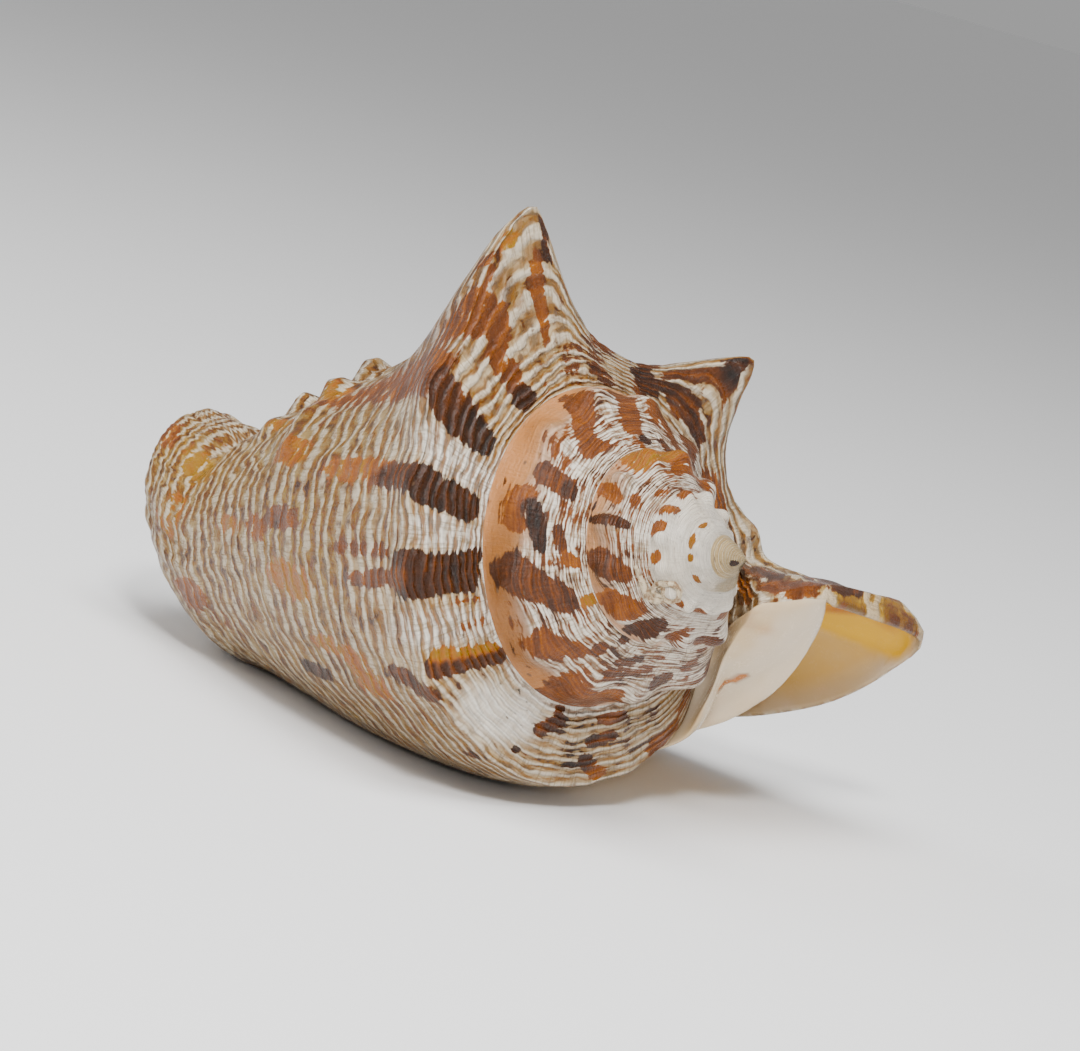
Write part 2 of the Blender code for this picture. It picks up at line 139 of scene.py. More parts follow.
# Shoulder knobs: angle from the back seen from the tip, height, half width before and after, sharpness
# before and after, reach up, reach down, lean to the tip.
KNOBS = (
    (-118, 0.012, 8, 8, 1.8, 1.8, 1.6, 0.03, 0.0), (-92, 0.016, 8, 8, 1.8, 1.8, 1.6, 0.03, 0.0),
    (-70, 0.024, 9, 9, 1.8, 1.8, 1.8, 0.04, 0.0), (-48, 0.04, 10, 10, 1.8, 1.8, 2.0, 0.055, 0.0),
    (-11, 0.182, 23, 9.5, 1.6, 1.05, 1.75, 0.115, 0.12),
    (52, 0.132, 12, 12.5, 1.25, 1.25, 1.8, 0.06, 0.3), (84, 0.056, 12, 11, 1.5, 1.5, 1.9, 0.05, 0.1),
)
KNOB_BLEND = 3.0
# Small knobs of the two lower rows: angle, along, height, half width.
NODULES = (
    (-52, 0.61, 0.015, 6), (-38, 0.62, 0.018, 6), (-22, 0.62, 0.028, 6.5), (-4, 0.62, 0.032, 6.5),
    (14, 0.62, 0.026, 6), (32, 0.61, 0.018, 6), (-30, 0.725, 0.014, 7), (-10, 0.73, 0.026, 7),
    (12, 0.73, 0.022, 7), (34, 0.72, 0.012, 7), (-15, 0.855, -0.02, 38),
)
NODULE_LENGTH = 0.022
NODES_A_TURN = 12
NODE_PHASE = 40
NODE_SHARP = 1.5
NODE_HEIGHT = 0.022
NODE_ROW = 4.8
NODE_SPREAD = 1.1

# Rows of the solid, from the seam of a whorl to the next one, and on to the front end.
SPIRE_PLACES = (0, 0.7, 1.4, 2.2, 3.1, 4, 4.6, 5, 5.5, 6)
BODY_PLACES = (6.7, 7.4, 8.2, 9.1, 10, 10.6, 11.2, 11.8, 12.4, 13, 13.5, 14, 14.5, 15, 15.4, 15.75, 16)

# The fine surface: columns a turn, steps between rows of the solid, rings of the mouth, edge of the lip.
FINE_COLUMNS = 288
SPIRE_STEPS = 4
BODY_STEPS = 4
FINE_RINGS = 32
LIP_STEPS = 6
LIP_ROUND = 0.45
LIP_THIN = 0.7
LIP_THIN_TURN = 14.0
LIP_THIN_ROW = 5.3
LIP_THIN_SPREAD = 1.8

# Relief, millimetres. GROWTH_REACH is the way along the whorl at the lip, counted from the tip.
GROWTH_REACH = 251.0
BEAD_SPACING = 1.15
BEAD_HEIGHT = 0.16
EARLY_NODE_HEIGHT = 0.55
GROWTH_HEIGHT = 0.1
GROWTH_RATE = 1.15
FINE_HEIGHT = 0.035
FINE_RATE = 3.1
LAMELLA_HEIGHT = 0.45
LAMELLA_RATE = 2.9
# The bump of the cords, metres.
CORD_HEIGHT = 0.00035

# Spiral cords for each place across, on the ramp above the shoulder and on the body below it.
RAMP_CORDS = 2.0
BODY_CORDS = 3.2
# Brown between the marks: least amount, what the middle whorls have more, degrees between bars on the far side.
SCATTER = 0.24
SPIRE_SCATTER = 0.14
BAR_SPACING = 23.0
BROWN_EDGE = (0.44, 0.62)
# The side that carries the marks placed one by one: where it starts and how far it goes.
SIGHT_TURN = 215.0
SIGHT_SPAN = 205.0

# Linear colours.
WHITE = (0.47, 0.385, 0.275)
CORD_WHITE = (0.8, 0.765, 0.7)
CREAM_SHADE = (0.8, 0.72, 0.6)
PEACH = (0.46, 0.25, 0.15)
MAUVE = (0.19, 0.09, 0.045)
OLIVE = (0.23, 0.15, 0.045)
GREY = (0.235, 0.175, 0.105)
BEIGE = (0.36, 0.285, 0.175)
YELLOW = (0.42, 0.26, 0.075)
PIGMENTS = (
    (0.0, (0.25, 0.13, 0.022)), (0.28, (0.27, 0.08, 0.008)), (0.52, (0.14, 0.036, 0.004)),
    (0.76, (0.046, 0.013, 0.003)), (1.0, (0.01, 0.005, 0.003)),
)
STAIN_COLOURS = ((0.0, (0.17, 0.095, 0.03)), (0.5, (0.16, 0.058, 0.01)), (1.0, (0.06, 0.03, 0.014)))
GROWTH_COLOUR = (0.17, 0.115, 0.06)
VIVID = 1.3
# The last whorl's looks fade in between these angles.
LAST_WHORL = (-400, -350)
# How much longer and wider the marks on the spire and on the last whorl are drawn.
MARK_GROWTH = (1.35, 1.25)
BAR_GROWTH = (1.25, 1.1)
SPECK_COLOUR = (0.1, 0.065, 0.045)
INNER_CREAM = (0.66, 0.56, 0.44)
INNER_WALL = (0.6, 0.41, 0.2)
INNER_WARM = (0.58, 0.42, 0.24)
INNER_SMUDGE = (0.46, 0.24, 0.12)

# Brown marks: angle and place of both ends, half width in degrees and in places, amount, tone (0 ochre,
# 0.3 rust, 0.55 chestnut, 1 nearly black).
MARKS = (
    # The last whorl, from the knobs down to the lower side.
    (-148, 9, -156, 6.9, 4, 0.9, 0.75, 0.45), (-156, 6.9, -165, 4.3, 4.5, 0.9, 0.95, 0.5),
    (-165, 4.3, -167, 2.6, 4.5, 0.8, 1.1, 0.75), (-167, 2.7, -167, 1.6, 3.5, 0.5, 1.2, 0.95),
    (-180, 7.7, -183, 6.3, 3, 0.6, 0.85, 0.25), (-184, 6, -186, 4.4, 3, 0.6, 1.1, 0.7),
    (-186, 4.4, -188, 1.4, 4, 0.7, 1.25, 0.85), (-208, 5.2, -209, 0.9, 5, 0.5, 1.25, 0.82),
    (-204, 1.6, -203, 0.3, 2.5, 0.4, 1.1, 0.8), (-210, 6.8, -209, 5.4, 2, 0.5, 0.95, 0.6),
    (-202, 7.3, -203, 6.2, 1.8, 0.4, 0.75, 0.55), (-232, 4.4, -240, 0.3, 2.6, 0.5, 1.2, 0.75),
    (-229, 4.2, -236, 0.5, 1.4, 0.4, 0.9, 0.15), (-225, 2.2, -226, 0.6, 1.8, 0.4, 0.75, 0.4),
    (-217, 2.4, -218, 0.6, 0.8, 0.3, 0.75, 0.45), (-232, 7.8, -240, 7.4, 3, 0.5, 0.85, 0.2),
    (-230, 8.6, -230, 8.4, 2.5, 0.35, 0.85, 0.1), (-241, 9.5, -241, 9.3, 2.5, 0.3, 1, 0.85),
    (-234, 6.2, -238, 5.2, 2.4, 0.5, 0.85, 0.7), (-273, 2.1, -279, 0.9, 3, 0.4, 0.95, 0.5),
    (-277, 0.5, -277, 0.2, 2.5, 0.3, 0.9, 0.6), (-300, 0.9, -307, 1, 3, 0.45, 1.05, 0.45),
    (-296, 2.4, -303, 2.2, 2.5, 0.4, 1, 0.5), (-294, 3.4, -300, 4.5, 2.5, 0.4, 0.95, 0.4),
    (-321, 4.4, -328, 4.2, 3, 0.6, 1.05, 0.5), (-268, 3.8, -268, 3.8, 1.5, 0.3, 1, 0.8),
    (-261, 5.6, -261, 5.6, 1.5, 0.3, 0.9, 0.7), (-258, 1.2, -262, 2.8, 7, 1, 0.28, 0.9),
    (-286, 1.6, -288, 3, 9, 1.2, 0.38, 0.8), (-312, 2.6, -318, 1.8, 8, 1.4, 0.42, 0.7),
    # The knobs.
    (-150, 5.5, -143, 3.7, 3.5, 0.6, 0.85, 0.5), (-146, 3.2, -145, 2.1, 3.5, 0.6, 0.9, 0.55),
    (-146, 1.6, -144, 1, 4, 0.4, 1.1, 0.85), (-128, 4, -131, 3.7, 1.2, 0.25, 0.95, 0.5),
    (-129, 3.6, -129, 2.9, 1.6, 0.3, 0.95, 0.45), (-135, 4.8, -134, 4.6, 1.5, 0.25, 0.8, 0.1),
    (-126, 4.7, -126, 4.4, 1.2, 0.3, 0.9, 0.8), (-139, 5.3, -141, 4.7, 1.2, 0.25, 0.7, 0.5),
    (-80, 3.1, -62, 2.6, 5, 0.45, 1.05, 0.75), (-76, 4, -67, 4.1, 5, 0.3, 1, 0.6),
    (-88, 3.6, -84, 2.4, 4, 0.8, 1, 0.8), (-67, 4.6, -66, 4.4, 2, 0.2, 0.9, 0.85),
    (-110, 2.4, -104, 4, 4, 0.5, 0.6, 0.6), (-122, 1.2, -118, 2.2, 4, 0.4, 0.6, 0.6),
    # The left end.
    (-171, 9.7, -173, 9.2, 4.5, 0.35, 0.85, 0.25), (-194, 9.5, -195, 9.1, 3.5, 0.35, 1, 0.6),
    (-197, 10.3, -199, 10.1, 4, 0.3, 0.85, 0.45), (-212, 9.4, -214, 8.9, 4.5, 0.45, 0.85, 0.15),
    (-230, 13.4, -226, 13.2, 7, 0.5, 0.85, 0.45), (-196, 11.4, -197, 11.2, 3, 0.3, 0.75, 0.15),
    (-152, 15.2, -160, 15, 8, 0.5, 0.7, 0.4), (-160, 13.6, -164, 12.8, 9, 0.35, 0.7, 0),
    (-143, 9.6, -144, 9.3, 3, 0.3, 0.75, 0.15), (-150, 10.9, -151, 10.6, 3, 0.3, 0.75, 0.1),
    (-184, 13.4, -200, 13.8, 4, 0.4, 0.6, 0.15), (-236, 12.6, -242, 12.2, 4, 0.5, 0.5, 0.5),
    # The whorl above.
    (-490, 5.2, -505, 2.7, 4.5, 0.6, 1.05, 0.5), (-467, 5, -474, 2.2, 5, 0.6, 1.05, 0.5),
    (-470, 1, -468, 0.8, 3, 0.35, 1.2, 0.85), (-508, 2.2, -497, 1.8, 3, 0.4, 0.95, 0.5),
    (-528, 4.2, -530, 2.3, 4, 0.5, 1.1, 0.6), (-530, 2.2, -531, 1.9, 3, 0.4, 1.1, 0.8),
    (-541, 4.7, -549, 4.9, 5, 0.6, 0.95, 0.4), (-545, 3.9, -557, 3.5, 3.5, 0.45, 1.15, 0.85),
    (-551, 2.3, -559, 2.1, 2.5, 0.35, 1, 0.7), (-564, 1.6, -566, 1.1, 3, 0.5, 0.95, 0.4),
    (-569, 5, -584, 2.4, 6, 0.7, 1.15, 0.65), (-588, 1, -588, 0.4, 3, 0.35, 0.95, 0.1),
    (-599, 4.6, -611, 3.2, 5, 0.6, 1, 0.5), (-619, 2.3, -618, 2, 3.5, 0.4, 1.05, 0.6),
    (-624, 0.6, -624, 0.3, 3, 0.3, 0.9, 0.7), (-627, 5.2, -650, 5.4, 7, 0.8, 0.95, 0.45),
    (-640, 3.2, -655, 2.5, 6, 0.5, 0.85, 0.6), (-670, 3.7, -673, 3.4, 4, 0.6, 1, 0.75),
    (-635, 2.2, -645, 1.6, 3, 0.35, 0.9, 0.7), (-682, 2.2, -684, 1.8, 3, 0.5, 0.9, 0.6),
    (-446, 4.2, -440, 2.4, 4, 0.6, 0.9, 0.55), (-430, 4.8, -426, 3, 4, 0.6, 0.85, 0.6),
    (-520, 3, -516, 4.6, 3, 0.4, 0.6, 0.45),
    # The third whorl.
    (-850, 5.2, -812, 5.2, 8, 0.9, 0.95, 0.15), (-822, 3.6, -800, 4, 8, 0.7, 0.85, 0.45),
    (-881, 5.6, -883, 4.9, 3.5, 0.5, 1, 0.35), (-879, 3.3, -878, 3, 4, 0.4, 1, 0.5),
    (-901, 5.3, -899, 3.4, 3, 0.6, 1.1, 0.75), (-924, 5.3, -934, 3.4, 6, 0.7, 1.1, 0.6),
    (-950, 5.6, -948, 5.2, 4, 0.5, 0.9, 0.2), (-955, 5, -963, 3.7, 7, 0.7, 1.05, 0.45),
    (-989, 3.2, -979, 5, 6, 0.8, 1.1, 0.75), (-1010, 4.6, -1022, 3.2, 6, 0.5, 0.8, 0.5),
    (-1038, 4.9, -1042, 4.5, 5, 0.5, 0.9, 0.6), (-860, 1.4, -856, 1, 5, 0.4, 0.7, 0.45),
    (-915, 2.2, -915, 1.9, 3, 0.35, 0.6, 0.4),
    # The first whorls.
    (-1255, 5.7, -1250, 5.3, 6, 0.45, 1.1, 0.4), (-1283, 5.5, -1281, 5.3, 5, 0.35, 1, 0.3),
    (-1611, 5.6, -1616, 5.5, 10, 0.35, 1, 0.15), (-1641, 5.6, -1641, 5.5, 6, 0.3, 0.95, 0.1),
    (-1680, 5.6, -1682, 5.4, 7, 0.35, 1, 0.15), (-1579, 5.3, -1579, 5.2, 8, 0.35, 1, 0.15),
    (-1334, 5.3, -1340, 5.2, 6, 0.4, 1.05, 0.4), (-1371, 5.4, -1380, 5.4, 7, 0.4, 1.05, 0.45),
    (-1232, 5.5, -1228, 4.6, 6, 0.5, 0.95, 0.35), (-1205, 5.2, -1196, 4.8, 6, 0.5, 0.8, 0.4),
    (-2031, 2.8, -2040, 2.4, 20, 0.8, 1.1, 0.9),
    # The rear side of the wing.
    (-20, 2.7, -10, 2.2, 4, 0.5, 1, 0.45), (-9, 3.4, -3, 3.7, 3, 0.3, 0.95, 0.5),
    (-16, 3.8, -30, 3.4, 4, 0.4, 0.9, 0.7), (-6, 4.2, -12, 4.6, 3, 0.3, 0.9, 0.65),
)
# Ground colours: ends and half widths in the same way, amount, colour.
GROUNDS = (
    (-130, 9, -250, 9, 16, 2.2, 0.55, GREY), (-150, 14, -250, 14, 18, 2.2, 0.55, OLIVE),
    (-165, 12, -165, 14, 16, 1.6, 0.45, YELLOW), (-190, 8.6, -212, 8.8, 8, 1.2, 0.55, OLIVE),
    (-255, 8, -290, 12, 26, 3, 0.7, GREY), (-262, 12, -330, 12, 30, 3, 0.6, BEIGE),
    (-142, 7.8, -165, 4.6, 5, 1, 0.8, MAUVE), (-146, 7.6, -158, 5.4, 6, 0.9, 0.7, MAUVE),
    (-150, 6.5, -142, 4.2, 5, 0.8, 0.55, MAUVE), (-196, 6.8, -200, 5.4, 5, 0.9, 0.45, GREY),
    (-176, 4, -178, 1, 5, 1.5, 0.9, CORD_WHITE), (-197, 3.6, -199, 1, 5, 1.5, 0.85, CORD_WHITE),
    (-222, 4.6, -226, 1, 5, 1.5, 0.8, CORD_WHITE), (-252, 3.2, -262, 2, 10, 1.6, 0.8, CORD_WHITE),
    (-234, 8.2, -238, 8, 4, 0.5, 0.7, GREY), (-168, 0.1, -330, 0.1, 4, 0.6, 0.8, CORD_WHITE),
    (-400, 5.9, -620, 5.9, 12, 0.75, 0.92, PEACH), (-500, 5.6, -560, 5.5, 22, 0.8, 0.85, PEACH),
    (-510, 4.9, -550, 4.6, 10, 1, 0.6, PEACH), (-565, 5.4, -610, 5.6, 14, 0.7, 0.7, MAUVE),
    (-620, 5.9, -760, 5.9, 14, 0.6, 0.7, PEACH), (-860, 5.9, -1000, 5.9, 14, 0.6, 0.75, PEACH),
    (-885, 5.2, -930, 5.4, 14, 0.9, 0.55, PEACH), (-905, 4.6, -925, 4.4, 10, 0.9, 0.45, MAUVE),
    (-2160, 3, -1760, 3, 40, 4, 0.75, BEIGE), (-2160, 3, -1900, 3, 40, 4, 0.6, BEIGE),
    (-165, 9.5, -262, 10.5, 22, 2.6, 0.45, OLIVE), (-175, 12.5, -285, 12.5, 20, 2.4, 0.4, BEIGE),
    (0, 4.6, -9, 4.6, 3, 0.7, 0.85, YELLOW), (0, 4.9, -22, 4.9, 3, 0.3, 0.5, YELLOW),
)
# How strongly the gaps between the cords are stained: ends and half widths, amount.
STAINS = (
    (-400, 5.9, -760, 5.9, 14, 0.8, 0.15), (-2160, 3, -1800, 3, 60, 6, 0.25),
    (-252, 3, -264, 2, 12, 2, 0.3),
)

# The camera, in the shell's own frame: direction from the tip, distance in shell lengths, where the tip falls.
VIEW_AZIMUTH = 40.0
VIEW_ELEVATION = 4.0
VIEW_DISTANCE = 5.0
VIEW_SCALE = 830.0
TIP_PIXEL = (746.0, 560.0)
FRAME_PIXELS = (1080.0, 1051.0)
SENSOR = 36.0
CLIP_START = 0.01

# Marks inside the lip and on the callus: both ends in millimetres, radius, amount, colour.
INNER_MARKS = (
    ((30.4, 7.4, 15.8), (32.4, 10.8, 17.9), 0.5, 1.0, (0.42, 0.13, 0.025)),
    ((36.2, 3.5, 26.0), (36.6, 4.3, 25.4), 1.2, 0.35, (0.4, 0.28, 0.19)),
    ((27.0, 27.5, 24.4), (33.4, 35.0, 23.8), 2.6, 0.85, (0.74, 0.46, 0.13)),
    ((28.2, 28.3, 26.0), (29.9, 30.7, 25.6), 0.6, 1.0, (0.44, 0.15, 0.025)),
    ((35.4, 32.8, 26.0), (38.2, 33.6, 26.0), 0.7, 0.9, (0.34, 0.1, 0.02)),
    ((31.0, 32.0, 25.6), (34.0, 34.6, 25.6), 0.8, 0.8, (0.55, 0.26, 0.05)),
)

# The worm tube, millimetres.
CRUST_MIDDLE = (38.2, -14.4, 29.4)
CRUST_END = (36.0, -17.3, 31.4)
CRUST_RIGHT = (0.69, 0.677, 0.255)
CRUST_UP = (-0.301, -0.052, 0.952)
CRUST_TURNS = -1.9
CRUST_FIRST_ANGLE = 150
CRUST_COIL = (0.28, 1.15)
CRUST_WIDE = 1.25
CRUST_STEPS = 40
CRUST_TAIL = 12
CRUST_SIDES = 10
CRUST_RADIUS = (0.2, 0.24)
CRUST_WAVY = (0.12, 2.3)
CRUST_TAPER = 0.55
CRUST_RAISED = 0.35
CRUST_HEIGHT = 0.0003
CRUST_CHALK = (0.66, 0.54, 0.36)
CRUST_DIRT = (0.27, 0.16, 0.075)

# The enamel: coat, then roughness at least, in the grain, in the gaps, and what the inside has less.
COAT_WEIGHT = 0.3
COAT_ROUGHNESS = 0.08
ENAMEL_IOR = 1.48
ENAMEL_SPECULAR = 0.22
ROUGH_LEAST = 0.14
ROUGH_GRAIN = 0.22
ROUGH_GAP = 0.08
ROUGH_INSIDE = 0.05

FLOOR_HALF = 3
FLOOR_COLOUR = (0.94, 0.94, 0.94, 1.0)
FLOOR_ROUGHNESS = 0.7

# Lights: name, place, size, power.
LIGHT_TARGET = (0, 0, 0.03)
WORLD_STRENGTH = 0.38
LIGHTS = (
    ("top", (0.1, -0.12, 0.6), 0.4, 4.2),
    ("key", (0.28, -0.3, 0.42), 0.1, 2.6),
    ("side", (-0.4, -0.3, 0.34), 0.3, 0.9),
    ("glints", (0.42, -0.42, 0.2), 0.03, 0.5),
)


def eased(x, low, high):
    """0 below low, 1 above high, and smooth between."""
    f = np.clip((x - low) / (high - low), 0.0, 1.0)
    return f * f * (3 - 2 * f)


def bell(x, middle, width):
    return np.exp(-((x - middle) / width) ** 2)


def whorl_size(t):
    """How large the whorl has grown at an angle."""
    return GROWTH ** ((t + SEAM_ANGLE) / 360)


def node_wave(t):
    """1 at every node of the spire, 0 between two of them."""
    return (0.5 + 0.5 * np.cos(np.radians(t * NODES_A_TURN + NODE_PHASE))) ** NODE_SHARP


def curve(x, keys, values):
    """A smooth curve through a few points."""
    keys = np.asarray(keys, float)
    values = np.asarray(values, float)
    x = np.clip(x, keys[0], keys[-1])
    step = np.diff(keys)
    slope = np.diff(values) / step
    tangent = np.empty_like(values)
    tangent[1:-1] = (slope[:-1] * step[1:] + slope[1:] * step[:-1]) / (step[1:] + step[:-1])
    tangent[0] = slope[0]
    tangent[-1] = slope[-1]
    i = np.clip(np.searchsorted(keys, x, side="right") - 1, 0, len(keys) - 2)
    h = step[i]
    f = (x - keys[i]) / h
    return (
        values[i] * (1 + 2 * f) * (1 - f) ** 2
        + values[i + 1] * f * f * (3 - 2 * f)
        + h * tangent[i] * f * (1 - f) ** 2
        - h * tangent[i + 1] * f * f * (1 - f)
    )


def through(x, points, column):
    """The given column of a list of points, as a smooth curve over its first column."""
    return curve(x, [p[0] for p in points], [p[column] for p in points])


def seam(t):
    """Along and out of the upper seam at an angle."""
    out = SEAM_SCALE * whorl_size(t)
    out = np.where(t < 360.0 - 360.0 * TURNS, 0.0, out)
    late = t > -360
    return np.where(late, through(t, SEAM, 1), SPIRE_SLOPE * out), np.where(late, through(t, SEAM, 2), out)


def shoulder(t):
    """Along and out of the shoulder at an angle."""
    a0, r0 = seam(t)
    a1, r1 = seam(np.minimum(t + 360, 0))
    size = whorl_size(t) * eased(t, -360 * TURNS, 360 - 360 * TURNS)
    early_a = a0 + EARLY_SHOULDER * (a1 - a0) - EARLY_RISE * size
    early_r = r0 + EARLY_SHOULDER * (r1 - r0) + EARLY_SWELL * size
    k = eased(t, -400, -345)
    along = early_a + k * (through(t, SHOULDER, 1) - early_a)
    out = early_r + k * (through(t, SHOULDER, 2) - early_r)
    return along, out


def plain(t, v):
    """Along and out of the whorl without its lip and knobs, at an angle and a place across."""
    a0, r0 = seam(t)
    a1, r1 = seam(np.minimum(t + 360, 0))
    a5, r5 = shoulder(t)
    f = np.clip(v / SHOULDER_ROW, 0, 1)
    hollow = FIRST_RAMP + (LATE_RAMP - FIRST_RAMP) * eased(t, -360 * TURNS, 360 - 360 * TURNS)
    ramp_a = a0 + (a5 - a0) * f ** hollow
    ramp_r = r0 + (r5 - r0) * (0.9 * f + 0.1 * f * f)
    g = np.clip(v - SHOULDER_ROW, 0, 1)
    places = range(5, 17)
    k = eased(t, -360, -150)
    row = curve(v, places, ROWS_EARLY) * (1 - k) + curve(v, places, ROWS_LATE) * k
    row = a5 + (row - ROWS_EARLY[0]) * (ROWS_EARLY[-1] - a5) / (ROWS_EARLY[-1] - ROWS_EARLY[0])
    fade = 1 - 0.5 * eased(row, 0.35, 0.95)
    body = through(row, BODY, 1) * (1 + (r5 / BODY_OUT - 1) * fade)
    spire = (t <= -360) & (v <= SEAM_ROW)
    a = np.where(v <= SHOULDER_ROW, ramp_a, np.where(spire, a5 + (a1 - a5) * g, row))
    r = np.where(v <= SHOULDER_ROW, ramp_r, np.where(spire, r5 + (r1 - r5) * g, body))
    return a, r


def rim(rows, shift):
    """A rim outline as places, along, out and angle past the lip's own."""
    v, a, w, d = np.array(rows, float).T
    d = d - through(a, BEND, 1)
    turned = np.degrees(np.arctan2(w, d)) - LIP_BETA
    turned[-1] = turned[-2]
    return v + shift, a, np.hypot(w, d), turned


LIP_RIM = rim(LIP, 0.0)
FLAP = [row for row in LIP if row[0] <= MARGIN_ROW]
INNER_RIM = rim([(v + SEAM_ROW, a, w, d) for v, a, w, d in FLAP] + list(INNER), 0.0)


def placed(a, r, beta):
    """Points from along, out and the angle from the back."""
    beta = np.radians(beta)
    return np.stack([-a, r * np.sin(beta), r * np.cos(beta) + through(a, BEND, 1)], -1)


def smooth_shell(t, v):
    """Points of the shell without its knobs."""
    t, v = np.broadcast_arrays(np.asarray(t, float), np.asarray(v, float))
    a, r = plain(t, v)
    rows, rim_a, rim_r, rim_b = LIP_RIM
    f = eased(t, -LIP_FLARE, 0)
    base_a, base_r = plain(np.zeros_like(t), v)
    wing = bell(v, WING_ROW, WING_SPREAD)
    a = a + f ** (FLARE_POWER + WING_FLARE * wing) * (curve(v, rows, rim_a) - base_a)
    r = r + f ** FLARE_POWER * (curve(v, rows, rim_r) - base_r)
    turn = f ** 4 * curve(v, rows, rim_b) + WING_DROP * 4 * f * (1 - f) * bell(v, 4.5, 2.5)
    clear = through(a, SPIRE_CLEAR, 1) + 0.9 * swell(a, LIP_BETA + t) + 0.012 * v * f
    clear = clear * eased(v, 0, 0.7) * (1 - eased(v, 3.1, 4.6))
    r = r + eased(f, 0, 0.2) * np.maximum(clear - r, 0)
    rows, rim_a, rim_r, rim_b = INNER_RIM
    low = np.maximum(v, SEAM_ROW)
    base_a, base_r = plain(np.full_like(t, -359.999), low)
    f = (1 - eased(t, -360, -360 + FOLD)) * (t > -360.001) * np.clip(v - SHOULDER_ROW, 0, 1)
    a = a + f * (curve(low, rows, rim_a) - base_a)
    r = r + f * (curve(low, rows, rim_r) - base_r)
    grown = 1 + (shoulder(t)[1] / SHOULDER[0][2] - 1) * eased(a, 0.12, 0.24)
    clear = through(a, SPIRE_CLEAR, 1) * grown
    clear = np.maximum(clear + FLAP_RISE * (low - SEAM_ROW) * f, clear - FLAP_GAP + swell(a, LIP_BETA + t))
    clear = clear * eased(low, SEAM_ROW, SEAM_ROW + 0.7) * (1 - eased(low, *FLAP_END))
    r = r + eased(f, 0, 0.3) * (v > SEAM_ROW) * np.maximum(clear - r, 0)
    turn = turn + f * curve(low, rows, rim_b)
    beta = LIP_BETA + t + turn
    low_part = eased(t, -380, -360) * eased(v, SHOULDER_ROW, SEAM_ROW)
    flap_part = eased(t, -90, -40) * eased(v, 0, 0.5)
    r = r + swell(a, beta) * (1 - low_part) * (1 - flap_part)
    return placed(a, r, beta)


def swell(a, beta):
    """How far the spire swells at a place along and an angle."""
    off = (beta - SWELL_ANGLE + 180.0) % 360.0 - 180.0
    return through(a, SWELL, 1) * bell(off, 0.0, SWELL_WIDTH)


def outward(t, v):
    """Unit normals of the shell without its knobs."""
    step_t, step_v = 0.5, 0.02
    t0, t1 = np.clip(t - step_t, -1e4, 0), np.clip(t + step_t, -1e4, 0)
    v0, v1 = np.clip(v - step_v, 0, END_ROW), np.clip(v + step_v, 0, END_ROW)
    n = np.cross(smooth_shell(t1, v) - smooth_shell(t0, v), smooth_shell(t, v1) - smooth_shell(t, v0))
    return n / np.maximum(np.linalg.norm(n, axis=-1, keepdims=True), 1e-12)


def peak(x, sharp):
    """A bump with hollow flanks, round at its very top."""
    return np.exp(0.02 ** (sharp / 2) - (x * x + 0.02) ** (sharp / 2))


def lifted(t, v, points):
    """The same points with the knobs, the small knobs and the nodes of the spire raised."""
    a, _ = plain(t, v)
    along5, _ = shoulder(t)
    beta = LIP_BETA + t
    out = np.zeros_like(a)
    lean = np.zeros_like(a)
    last = (t > -352) * eased(v, 0, 1.6)
    for angle, height, before, after, sharp_before, sharp_after, up, down, leaning in KNOBS:
        across = np.where(v < SHOULDER_ROW, (SHOULDER_ROW - v) / up, np.maximum(a - along5, 0) / down)
        half = np.where(beta < angle, before, after)
        side = 0.5 + 0.5 * np.tanh((beta - angle) / KNOB_BLEND)
        sharp = sharp_before + (sharp_after - sharp_before) * side
        bump = last * peak(np.hypot((beta - angle) / half, across), sharp)
        out = out + height * bump
        lean = lean + leaning * height * bump * bump
    for angle, along, height, half in NODULES:
        bump = np.exp(-((beta - angle) / half) ** 2 - ((a - along) / NODULE_LENGTH) ** 2)
        out = out + height * bump * last * (v > SEAM_ROW)
    size = whorl_size(t)
    wave = node_wave(t)
    first = -360 * TURNS
    early = eased(t, first + 90, first + 540) * (1 - eased(t, -415, -385))
    early = early * eased(v, 0, 1.5) * (1 - eased(v, 5.2, 6.0))
    out = out + NODE_HEIGHT * size * wave * early * bell(v, NODE_ROW, NODE_SPREAD)
    fade = 1 - eased(t, -6, 0)
    beta = np.radians(beta)
    move = np.stack([lean * fade, out * fade * np.sin(beta), out * fade * np.cos(beta)], -1)
    return points + move


